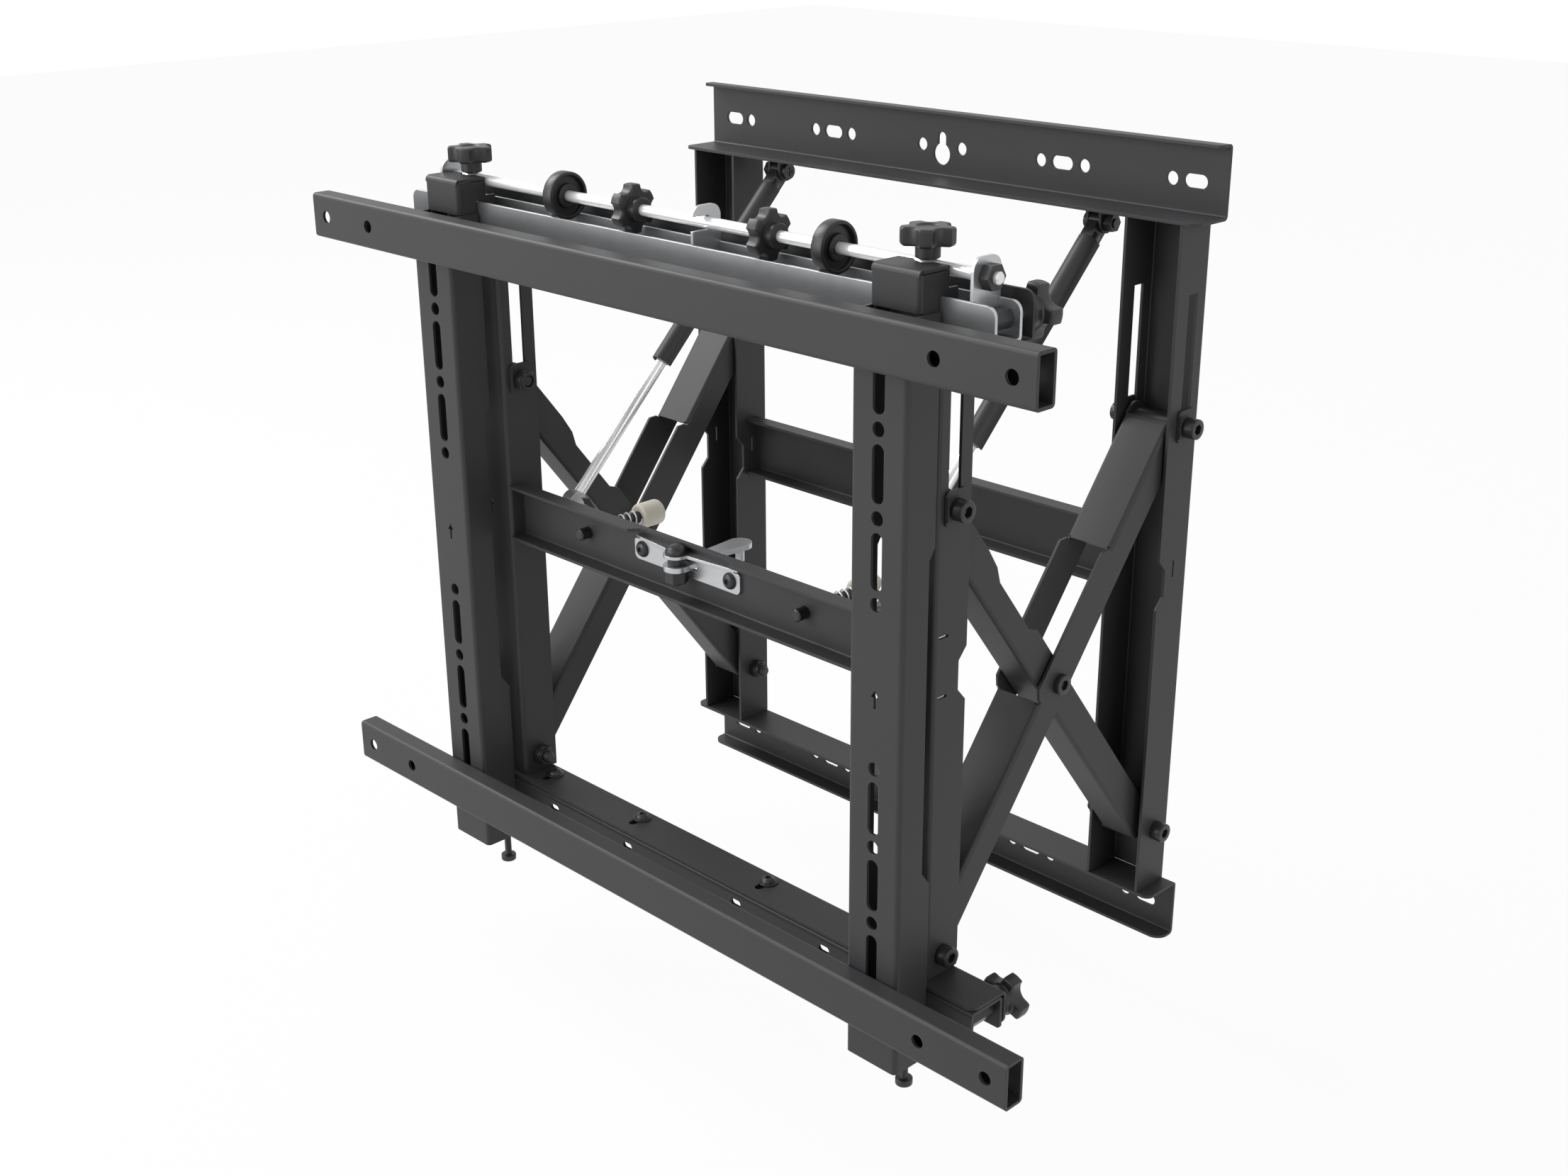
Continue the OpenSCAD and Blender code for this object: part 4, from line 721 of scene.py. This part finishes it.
@dataclass
class RodAndWheels:
    """The adjusting rod with chamfered ends, and its two dished wheels."""

    paint: Paintbox
    wheel_radius: float = 15.0
    wheel_thick: float = 8.5
    wheel_bore: float = 3.56
    recess_radius: float = 12.5
    recess_depth: float = 3.0
    hub_radius: float = 7.5
    rod_chamfer: float = 0.8

    def rod(self) -> None:
        """Builds the rod."""
        node = "adjusting_rod"
        low, high = millimetres(node)
        radius, length, chamfer = (high.z - low.z) / 2, high.x - low.x, self.rod_chamfer
        end = radius - chamfer
        shape = Shape()
        profile = [(end, 0.0), (radius, chamfer), (radius, length - chamfer), (end, length)]
        shape.turned(profile, moved(Axis.RIGHT, (low.x, *rod_axis())), segments=40)
        self.paint.piece(shape, f"{node}_detailed", node, node, Surface.POLISHED_STEEL)

    def wheels(self) -> None:
        """Builds the two wheels as one piece."""
        low, high = millimetres("rod_wheels")
        thick, rim, well = self.wheel_thick, self.wheel_radius, self.recess_radius
        bore, hub, deep = self.wheel_bore, self.hub_radius, self.recess_depth
        half = [
            (bore, 0.4), (bore + 0.4, 0.0), (hub - 0.5, 0.0), (hub, 0.5),
            (hub + 0.4, deep), (well - 0.4, deep), (well, 0.6), (well + 0.5, 0.0),
            (rim - 1.0, 0.0), (rim - 0.3, 0.3), (rim, 1.0),
        ]
        profile = half + [(radius, thick - height) for radius, height in reversed(half)]
        shape = Shape()
        for start in (low.x, high.x - thick):
            shape.turned(profile, moved(Axis.RIGHT, (start, *rod_axis())), segments=72, closed=True)
        self.paint.piece(shape, "rod_wheels_detailed", "rod_wheels", "rod_wheels", Surface.BLACK_PLASTIC)

    def build(self) -> None:
        """Builds the rod and its wheels."""
        self.rod()
        self.wheels()


# Fasteners and springs, placed by Geometry Nodes


class GeometryTree(NodeTree):
    """A Geometry Nodes tree with named inputs."""

    def __init__(self, name: str) -> None:
        """Makes an empty tree with a geometry input and output.

        Args:
            name: The tree's name.
        """
        super().__init__(bpy.data.node_groups.new(name, "GeometryNodeTree"))
        for way in ("INPUT", "OUTPUT"):
            self.tree.interface.new_socket("Geometry", in_out=way, socket_type="NodeSocketGeometry")
        self.inlet = self.add("NodeGroupInput", {}, {})

    def size(self, name: str, kind: str, default: object = None) -> bpy.types.NodeSocket:
        """Adds a named input.

        Args:
            name: What the input sets.
            kind: The socket's type.
            default: Its value, if it has one.

        Returns:
            The input as the tree's nodes see it.
        """
        made = self.tree.interface.new_socket(name, in_out="INPUT", socket_type=kind)
        if default is not None:
            made.default_value = default
        return self.inlet.outputs[name]

    def close(self, geometry: bpy.types.NodeSocket, material: bpy.types.NodeSocket) -> None:
        """Ends the tree in Realize Instances and Set Material.

        Args:
            geometry: The geometry that the tree makes.
            material: The material input.
        """
        real = self.add("GeometryNodeRealizeInstances", {}, {"Geometry": geometry})
        sockets = {"Geometry": real.outputs[0], "Material": material}
        dressed = self.add("GeometryNodeSetMaterial", {}, sockets)
        self.add("NodeGroupOutput", {}, {"Geometry": dressed.outputs[0]})

    def run(self, name: str, values: dict[str, object], places: Sequence[Point],
            aims: Sequence[Point] = ()) -> bpy.types.Object:
        """Runs the tree on some places, and keeps its result as a plain mesh.

        Args:
            name: The new object's name.
            values: The values of the named inputs.
            places: The places in millimetres.
            aims: The direction at each place, for a tree that reads it.

        Returns:
            The plain object at the origin.
        """
        carrier = bpy.data.meshes.new(f"{name} places")
        carrier.from_pydata([Vector(place) * MM for place in places], [], [])
        if aims:
            held = carrier.attributes.new("aim", "FLOAT_VECTOR", "POINT")
            for index, aim in enumerate(aims):
                held.data[index].vector = aim
        made = linked(name, carrier)
        modifier = made.modifiers.new(name, "NODES")
        modifier.node_group = self.tree
        for item in self.tree.interface.items_tree:
            if item.item_type == "SOCKET" and item.in_out == "INPUT" and item.name in values:
                modifier[item.identifier] = values[item.name]
        made.update_tag()
        graph = bpy.context.evaluated_depsgraph_get()
        graph.update()
        mesh = bpy.data.meshes.new_from_object(made.evaluated_get(graph))
        made.modifiers.remove(modifier)
        made.data = mesh
        mesh.shade_smooth()
        mesh.set_sharp_from_angle(angle=SMOOTH_ANGLE)
        return made


@dataclass
class FastenerPlacer:
    """Sets one fastener on each of a number of places, each turned a little about its own axis."""

    paint: Paintbox
    surface: Surface = Surface.BLACK_OXIDE
    largest_turn: float = 1.0
    tree: GeometryTree = field(init=False)

    def __post_init__(self) -> None:
        """Builds the tree."""
        tree = GeometryTree("fasteners on places")
        fastener = tree.size("Fastener", "NodeSocketObject")
        size = tree.size("Size", "NodeSocketFloat", 1.0)
        spin = tree.size("Largest turn", "NodeSocketFloat", 0.5)
        seed = tree.size("Seed", "NodeSocketInt", 7)
        material = tree.size("Finish", "NodeSocketMaterial")
        shape = tree.add("GeometryNodeObjectInfo", {"transform_space": "ORIGINAL"}, {"Object": fastener})
        aim = tree.add("GeometryNodeInputNamedAttribute", {"data_type": "FLOAT_VECTOR"}, {"Name": "aim"})
        # The random value's fourth input is the highest number
        turn = tree.add("FunctionNodeRandomValue", {"data_type": "FLOAT"}, {3: spin, "Seed": seed})
        along = tree.add("FunctionNodeAlignRotationToVector", {"axis": "Z"}, {"Vector": aim.outputs[0]})
        placed = tree.add("GeometryNodeInstanceOnPoints", {}, {
            "Points": tree.inlet.outputs["Geometry"], "Instance": shape.outputs["Geometry"],
            "Rotation": along.outputs[0], "Scale": size,
        })
        about = tree.add("ShaderNodeCombineXYZ", {}, {"Z": turn.outputs[1]})
        turned = tree.add("GeometryNodeRotateInstances", {}, {
            "Instances": placed.outputs[0], "Rotation": about.outputs[0],
        })
        tree.close(turned.outputs[0], material)
        self.tree = tree

    def place(self, node: str, body: str, shape: Shape, spots: Sequence[Spot], seed: int) -> None:
        """Sets copies of a fastener for one CAD node.

        Args:
            node: The CAD node that the copies stand for.
            body: The CAD body that they move with.
            shape: The fastener, its seat at the origin and its head toward +Z.
            spots: The seat and the direction of each copy.
            seed: The seed for the small turns.
        """
        name = f"{node}_detailed"
        material = self.paint.materials[self.surface]
        pattern = shape.object(f"{name} pattern", [material])
        values = {"Fastener": pattern, "Size": 1.0, "Seed": seed, "Finish": material}
        values["Largest turn"] = self.largest_turn
        made = self.tree.run(name, values, [place for place, _ in spots], [axis.value for _, axis in spots])
        bpy.data.objects.remove(pattern)
        join_frame(made, body, self.surface, node)


def both_sides(places: Sequence[Point], seats: Sequence[float]) -> list[Spot]:
    """Spots on both sides of the mount, facing outward.

    Args:
        places: Y and Z of each spot.
        seats: Distance of each spot from the middle.

    Returns:
        The spots, the right one of each pair first.
    """
    spots: list[Spot] = []
    for (y, z), seat in zip(places, seats):
        spots += [((seat, y, z), Axis.RIGHT), ((-seat, y, z), Axis.LEFT)]
    return spots


@dataclass
class LinkageFasteners:
    """The bolts and lock nuts of the scissor arms."""

    placer: FastenerPlacer
    head_radius: float = 6.5
    head_length: float = 8.0
    low_head_length: float = 4.0
    shank_radius: float = 4.0
    pitch: float = 1.25
    thread_length: float = 6.0
    thread_depth: float = 0.45
    socket_flats: float = 6.0
    socket_depth: float = 4.0
    nut_flats: float = 13.0
    nut_length: float = 8.0
    collar: float = 2.0
    tip_out: float = 1.5
    low_tip_out: float = 1.0
    # How much further out the sliding bolts sit, for their slider plates
    plate_step: float = 2.2

    def socket_bolt(self, head: float, shank: float) -> Shape:
        """A socket-head bolt, its seat at the origin and its head toward +Z.

        Args:
            head: Length of the head.
            shank: Length of the shank.

        Returns:
            The bolt.
        """
        middle = Matrix.Identity(4)
        radius, edge = self.head_radius, 0.6
        deep = min(self.socket_depth, head - 1.0)
        outside = [
            (radius - 0.3, 0.0), (radius, 0.3), (radius, head - edge),
            (radius - edge * 0.3, head - edge * 0.3), (radius - edge, head),
            (self.socket_flats / math.sqrt(3) + 0.6, head),
        ]
        socket = [(1.06, head), (1.0, head - 0.25), (1.0, head - deep), (0.02, head - deep - 0.6)]
        rings = [ring(lambda _: reach, height, middle, 48) for reach, height in outside]
        for scale, height in socket:
            rings.append(ring(lambda angle: hexagon(self.socket_flats * scale, angle), height, middle, 48))
        shape = Shape()
        shape.rings(rings)
        tip = -shank + 0.7
        ridges = thread(self.shank_radius, 0.0, self.thread_length, self.pitch, self.thread_depth)[:-2]
        profile = [(self.shank_radius - 0.9, -shank), (self.shank_radius - 0.2, tip)]
        profile += [(reach, tip + height) for reach, height in ridges]
        shape.turned(profile + [(self.shank_radius, 0.1)], middle, segments=32)
        return shape

    def lock_nut(self) -> Shape:
        """A lock nut, its inner face at the origin and its outer face toward +Z.

        Returns:
            The nut.
        """
        bore = self.shank_radius + 0.02
        flats, corner = self.nut_flats / 2, self.nut_flats / math.sqrt(3)
        length, collar = self.nut_length, self.collar
        levels = [
            (bore, 0.0), (flats - 0.6, 0.0), (flats - 0.5, collar), (flats, collar + 0.01),
            (corner, collar + 0.75), (corner, length - 0.9), (flats + 0.15, length - 0.05),
            (flats - 0.4, length), (bore + 0.8, length), (bore, length - 0.8),
        ]
        rings = [
            ring(lambda angle: min(radius, hexagon(self.nut_flats, angle)), height, Matrix.Identity(4), 72)
            for radius, height in levels
        ]
        shape = Shape()
        shape.rings(rings, closed=True)
        return shape

    def arm(self, owner: str, lower: int) -> None:
        """Builds the bolts and nuts of one pair of arms from the boxes of the CAD nodes.

        Args:
            owner: inner_arm or outer_arm.
            lower: 0 if the lower bolts are the front ones, 1 if they are the rear ones.
        """
        low, high = millimetres(f"{owner}_bolts")
        radius = self.head_radius
        ys = (low.y + radius, high.y - radius)
        places = ((ys[lower], low.z + radius), (ys[1 - lower], high.z - radius))
        seat = high.x - self.head_length
        nut_face = millimetres(f"{owner}_nuts")[1].x
        nut_seat = nut_face - self.nut_length
        bolt = self.socket_bolt(self.head_length, seat - (nut_seat - self.tip_out))
        bolt_spots = both_sides(places, (seat - self.plate_step, seat))
        nut_spots = both_sides(places, (nut_seat, nut_seat - self.plate_step))
        self.placer.place(f"{owner}_bolts", f"{owner}s", bolt, bolt_spots, 11)
        self.placer.place(f"{owner}_nuts", f"{owner}s", self.lock_nut(), nut_spots, 23)

    def build(self) -> None:
        """Builds the fasteners of both pairs of arms and of their crossing."""
        self.arm("inner_arm", 1)
        self.arm("outer_arm", 0)
        low, high = millimetres("centre_bolts")
        crossing = [((low.y + high.y) / 2, (low.z + high.z) / 2)]
        seat = high.x - self.low_head_length
        nut_seat = millimetres("centre_nuts")[1].x - self.nut_length
        bolt = self.socket_bolt(self.low_head_length, seat - (nut_seat - self.low_tip_out))
        nut = self.lock_nut()
        self.placer.place("centre_bolts", "outer_arms", bolt, both_sides(crossing, [seat]), 31)
        self.placer.place("centre_nuts", "outer_arms", nut, both_sides(crossing, [nut_seat]), 37)


@dataclass
class SmallScrews:
    """The button-head screws of the bottom rail and the latch, and the latch's domed bolt."""

    paint: Paintbox
    placer: FastenerPlacer
    head_radius: float = 5.0
    shank_radius: float = 2.5
    rim: float = 0.9
    rail_flange: float = 6.5
    # X of the two inner rail screws
    rail_inner: tuple[float, float] = (-62.0, 64.0)
    latch_flange: float = 5.5
    latch_length: float = 7.0
    latch_plate: float = 2.0
    bolt_rim: float = 1.6
    bolt_shank: float = 4.0
    bolt_shoulder: float = 5.5

    def button(self, flange: float, height: float, length: float) -> Shape:
        """A button-head screw on a flange, its seat at the origin and its head toward +Z.

        Args:
            flange: Radius of the flange.
            height: Height of the head with its flange.
            length: Length of the shank.

        Returns:
            The screw.
        """
        head, shank, rim, steps = self.head_radius, self.shank_radius, self.rim, 6
        recess = 1.8
        profile = [(flange - 0.3, 0.0), (flange, 0.3), (flange - 0.2, rim), (head, rim + 0.05)]
        for step in range(1, steps + 1):
            turn = math.pi / 2 * step / steps
            if head * math.cos(turn) > recess + 0.1:
                profile.append((head * math.cos(turn), rim + (height - rim) * math.sin(turn)))
        top = profile[-1][1]
        profile += [(recess, top), (recess - 0.1, top - 1.4), (CLOSED_END, top - 1.7)]
        middle = Matrix.Identity(4)
        shape = Shape()
        shape.turned(profile, middle, segments=36)
        shape.turned([(shank - 0.5, -length), (shank, -length + 0.5), (shank, 0.1)], middle, segments=24)
        return shape

    def rail_screws(self) -> None:
        """Builds the four screws on the bottom outer rail."""
        low, high = millimetres("rail_screws")
        seat = millimetres("bottom_outer_rail")[1].z + 0.1
        ends = (low.x + self.rail_flange, high.x - self.rail_flange)
        spots = [((x, (low.y + high.y) / 2, seat), Axis.UP) for x in (*ends, *self.rail_inner)]
        screw = self.button(self.rail_flange, high.z - seat, seat - low.z)
        self.placer.place("rail_screws", "carriage", screw, spots, 41)

    def latch_screws(self) -> None:
        """Builds the two screws on the latch plate's ears."""
        low, high = millimetres("latch_screws")
        seat = high.y - self.latch_length
        ends = (low.x + self.latch_flange, high.x - self.latch_flange)
        spots = [((x, seat, (low.z + high.z) / 2), Axis.FRONT) for x in ends]
        screw = self.button(self.latch_flange, seat - low.y, self.latch_length)
        self.placer.place("latch_screws", "front_frame", screw, spots, 43)

    def latch_bolt(self) -> None:
        """Builds the domed bolt on which the latch lever turns."""
        low, high = millimetres("latch_bolt")
        centre = (low + high) / 2
        head = (high.x - low.x) / 2
        top, lever_top = (millimetres(node)[1].z for node in ("latch_plate", "latch_lever"))
        place = moved(Axis.UP, (centre.x, centre.y, 0.0))
        rim, shank, shoulder, steps = top + self.bolt_rim, self.bolt_shank, self.bolt_shoulder, 8
        turns = [math.pi / 2 * step / steps for step in range(steps)]
        dome = [(head * math.cos(turn), rim + (high.z - rim) * math.sin(turn)) for turn in turns]
        shape = Shape()
        shape.turned([(head - 0.4, top), (head, top + 0.4)] + dome + [(CLOSED_END, high.z)], place)
        shape.turned([(shank - 0.8, low.z), (shank, low.z + 0.8), (shank, top + 0.1)], place, segments=32)
        shape.turned([(shoulder, lever_top + 0.2), (shoulder, top - self.latch_plate)], place)
        self.paint.piece(shape, "latch_bolt_detailed", "front_frame", "latch_bolt", Surface.BLACK_OXIDE)

    def build(self) -> None:
        """Builds the screws and the bolt."""
        self.rail_screws()
        self.latch_screws()
        self.latch_bolt()


@dataclass
class Bumpers:
    """The soft caps of the sprung bumper pins, and the pins with chamfered ends."""

    paint: Paintbox
    cap_edge: float = 2.2
    cap_bore: float = 4.0
    cap_depth: float = 10.0
    pin_chamfer: float = 0.9

    def cap(self, radius: float, length: float) -> Profile:
        """The profile of a cap with the hole for its pin."""
        hole = [(CLOSED_END, self.cap_depth), (self.cap_bore, self.cap_depth), (self.cap_bore, 0.3)]
        return hole + rounded(radius, 0.0, length, self.cap_edge, 5) + [(CLOSED_END, length)]

    def pin(self, radius: float, length: float) -> Profile:
        """The profile of a pin with a chamfered front end."""
        front = [(radius - self.pin_chamfer, 0.0), (radius, self.pin_chamfer)]
        return front + [(radius, length - 0.2), (radius - 0.2, length)]

    def pair(self, node: str, profile: Callable[[float, float], Profile], surface: Surface,
             segments: int) -> None:
        """Builds two turned pieces side by side as one piece.

        Args:
            node: The CAD node that they stand for.
            profile: Gives their profile for a radius and a length.
            surface: Their surface.
            segments: Points in a ring.
        """
        low, high = millimetres(node)
        radius = (high.z - low.z) / 2
        shape = Shape()
        for x in (low.x + radius, high.x - radius):
            place = moved(Axis.BACK, (x, low.y, (low.z + high.z) / 2))
            shape.turned(profile(radius, high.y - low.y), place, segments=segments)
        self.paint.piece(shape, f"{node}_detailed", "bumpers", node, surface)

    def build(self) -> None:
        """Builds the caps and the pins."""
        self.pair("bumper_caps", self.cap, Surface.IVORY_PLASTIC, 48)
        self.pair("bumper_pins", self.pin, Surface.BLACK_OXIDE, 32)


@dataclass
class BumperSprings:
    """The two coil springs behind the front crossbar; on the real mount they shorten as the bumpers are
    pushed in.
    """

    paint: Paintbox
    turns: float = 8.0
    wire: float = 1.1
    travel: float = 15.0
    tree: GeometryTree = field(init=False)

    def __post_init__(self) -> None:
        """Builds the coil's tree."""
        tree = GeometryTree("coils on places")
        turns = tree.size("Turns", "NodeSocketFloat", self.turns)
        radius = tree.size("Coil radius", "NodeSocketFloat", 0.005)
        length = tree.size("Length", "NodeSocketFloat", 0.04)
        thick = tree.size("Wire radius", "NodeSocketFloat", 0.0005)
        material = tree.size("Finish", "NodeSocketMaterial")
        spiral = tree.add("GeometryNodeCurveSpiral", {}, {
            "Resolution": 32, "Rotations": turns, "Height": length,
            "Start Radius": radius, "End Radius": radius,
        })
        sockets = {"Resolution": 10, "Radius": thick}
        section = tree.add("GeometryNodeCurvePrimitiveCircle", {"mode": "RADIUS"}, sockets)
        swept = tree.add("GeometryNodeCurveToMesh", {}, {
            "Curve": spiral.outputs[0], "Profile Curve": section.outputs[0], "Fill Caps": True,
        })
        lying = tree.add("GeometryNodeTransform", {}, {
            "Geometry": swept.outputs[0], "Rotation": (-math.pi / 2, 0.0, 0.0),
        })
        placed = tree.add("GeometryNodeInstanceOnPoints", {}, {
            "Points": tree.inlet.outputs["Geometry"], "Instance": lying.outputs[0],
        })
        tree.close(placed.outputs[0], material)
        self.tree = tree

    def build(self) -> None:
        """Builds both springs as one piece, with their front ends kept where they are."""
        low, high = millimetres("bumper_springs")
        reach, centre_z = (high.z - low.z) / 2, (low.z + high.z) / 2
        length = high.y - low.y
        half_wire = self.wire / 2
        places = [(x, low.y + half_wire, centre_z) for x in (low.x + reach, high.x - reach)]
        springs = self.tree.run("bumper_springs_detailed", {
            "Turns": self.turns,
            "Coil radius": (reach - half_wire) * MM,
            "Length": (length - self.wire) * MM,
            "Wire radius": half_wire * MM,
            "Finish": self.paint.materials[Surface.POLISHED_STEEL],
        }, places)
        join_frame(springs, "front_frame", Surface.POLISHED_STEEL, "bumper_springs")
        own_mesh(springs)


@dataclass
class LevellingScrews:
    """The screws under the feet of the display uprights, with threaded shanks."""

    paint: Paintbox
    head_height: float = 4.5
    head_edge: float = 0.7
    shank_radius: float = 2.5
    pitch: float = 0.8
    thread_depth: float = 0.25

    def build(self) -> None:
        """Builds both screws."""
        for side in ("left", "right"):
            node = f"levelling_screw_{side}"
            low, high = millimetres(node)
            centre = (low + high) / 2
            place = moved(Axis.UP, (centre.x, centre.y, 0.0))
            start = low.z + self.head_height - 0.2
            shank = thread(self.shank_radius, start + 0.3, high.z, self.pitch, self.thread_depth)
            head = rounded((high.x - low.x) / 2, low.z, low.z + self.head_height, self.head_edge)
            shape = Shape()
            shape.turned(head, place)
            shape.turned([(self.shank_radius - 0.3, start)] + shank, place, segments=24)
            self.paint.piece(shape, f"{node}_detailed", node, node, Surface.BLACK_OXIDE)


# Studio


@dataclass(frozen=True)
class Lamp:
    """A rectangular soft lamp, in metres and watts."""

    name: str
    place: tuple[float, float, float]
    size: tuple[float, float]
    power: float

    def build(self, target: Point) -> None:
        """Sets the lamp.

        Args:
            target: What it points at, in metres.
        """
        data = bpy.data.lights.new(self.name, "AREA")
        data.shape = "RECTANGLE"
        data.size, data.size_y = self.size
        data.energy = self.power
        made = linked(self.name, data)
        place = Vector(self.place)
        turn = (Vector(target) - place).to_track_quat("-Z", "Y").to_matrix().to_4x4()
        made.matrix_world = Matrix.Translation(place) @ turn
        made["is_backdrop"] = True


@dataclass
class Studio:
    """Camera, lamps, world and floor."""

    focal_pixels: float = 2738.35
    image_width: float = 2212.0
    film_width: float = 36.0
    # The camera's place is in millimetres
    position: tuple[float, float, float] = (865.6, -1007.9, 443.9)
    forward: tuple[float, float, float] = (-0.66305, 0.65483, -0.36271)
    right: tuple[float, float, float] = (0.70393, 0.71025, -0.00454)
    target: tuple[float, float, float] = (0.0, -0.12, 0.0)
    lamps: tuple[Lamp, ...] = (
        Lamp("front lamp", (-1.1, -2.6, 0.9), (2.2, 2.0), 52.0),
        Lamp("side lamp", (2.6, -0.5, 0.7), (1.4, 2.0), 14.0),
        Lamp("high lamp", (-1.9, -0.7, 2.0), (1.4, 1.4), 60.0),
    )
    ambient: float = 0.38
    floor_drop: float = 60.0
    floor_reach: float = 6.0
    floor_grey: float = 0.75
    floor_white: float = 0.95

    def camera(self) -> None:
        """Sets the camera at the photograph's viewing angle."""
        data = bpy.data.cameras.new("camera")
        data.sensor_fit = "HORIZONTAL"
        data.sensor_width = self.film_width
        data.lens = self.focal_pixels * self.film_width / self.image_width
        data.clip_start = 0.01
        data.clip_end = 50.0
        made = linked("camera", data)
        ahead = Vector(self.forward).normalized()
        up = Vector(self.right).normalized().cross(ahead).normalized()
        side = ahead.cross(up).normalized()
        turn = Matrix((side, up, -ahead)).transposed().to_4x4()
        made.matrix_world = Matrix.Translation(Vector(self.position) * MM) @ turn
        bpy.context.scene.camera = made

    def world(self) -> None:
        """Lights the object evenly, and shows white to the camera and in reflections."""
        world = bpy.data.worlds.new("studio")
        bpy.context.scene.world = world
        tree = ShaderTree(world)
        level = 1 - (1 - self.ambient) * (1 - tree.seen())
        background = tree.value("ShaderNodeBackground", {}, {"Color": WHITE, "Strength": level})
        tree.add("ShaderNodeOutputWorld", {}, {"Surface": background})

    def floor(self) -> None:
        """Adds the pale floor, which keeps the object's shadow."""
        material = bpy.data.materials.new("pale floor")
        tree = ShaderTree(material)
        white = tree.value("ShaderNodeEmission", {}, {"Color": WHITE, "Strength": 1.0})
        grey = (self.floor_grey, self.floor_grey, self.floor_grey, 1.0)
        matt = tree.value("ShaderNodeBsdfDiffuse", {}, {"Color": grey})
        share = self.floor_white * tree.seen()
        mixed = tree.value("ShaderNodeMixShader", {}, {0: share, 1: matt, 2: white})
        tree.add("ShaderNodeOutputMaterial", {}, {"Surface": mixed})
        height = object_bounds()[0][2] - self.floor_drop * MM
        reach = self.floor_reach
        mesh = bpy.data.meshes.new("floor")
        corners = [(x * reach, y * reach, height) for x, y in ((-1, -1), (1, -1), (1, 1), (-1, 1))]
        mesh.from_pydata(corners, [], [[0, 1, 2, 3]])
        mesh.materials.append(material)
        made = linked("floor", mesh)
        made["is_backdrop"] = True

    def build(self) -> None:
        """Builds the studio."""
        bpy.context.scene.view_settings.view_transform = "Standard"
        self.camera()
        for lamp in self.lamps:
            lamp.build(self.target)
        self.world()
        self.floor()


def main() -> None:
    """Builds the pieces and the studio in order."""
    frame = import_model()
    paint = Paintbox()
    paint.dress_frame(frame["nodes"])
    placer = FastenerPlacer(paint)
    parts: list[tuple[str, Callable[[], None]]] = [
        ("knobs", KnobSet(paint).build),
        ("rod and wheels", RodAndWheels(paint).build),
        ("linkage fasteners", LinkageFasteners(placer).build),
        ("small screws", SmallScrews(paint, placer).build),
        ("bumpers", Bumpers(paint).build),
        ("bumper springs", BumperSprings(paint).build),
        ("levelling screws", LevellingScrews(paint).build),
        ("studio", Studio().build),
    ]
    for name, build in parts:
        build()
        log.info("built the %s", name)


if __name__ == "__main__":
    main()
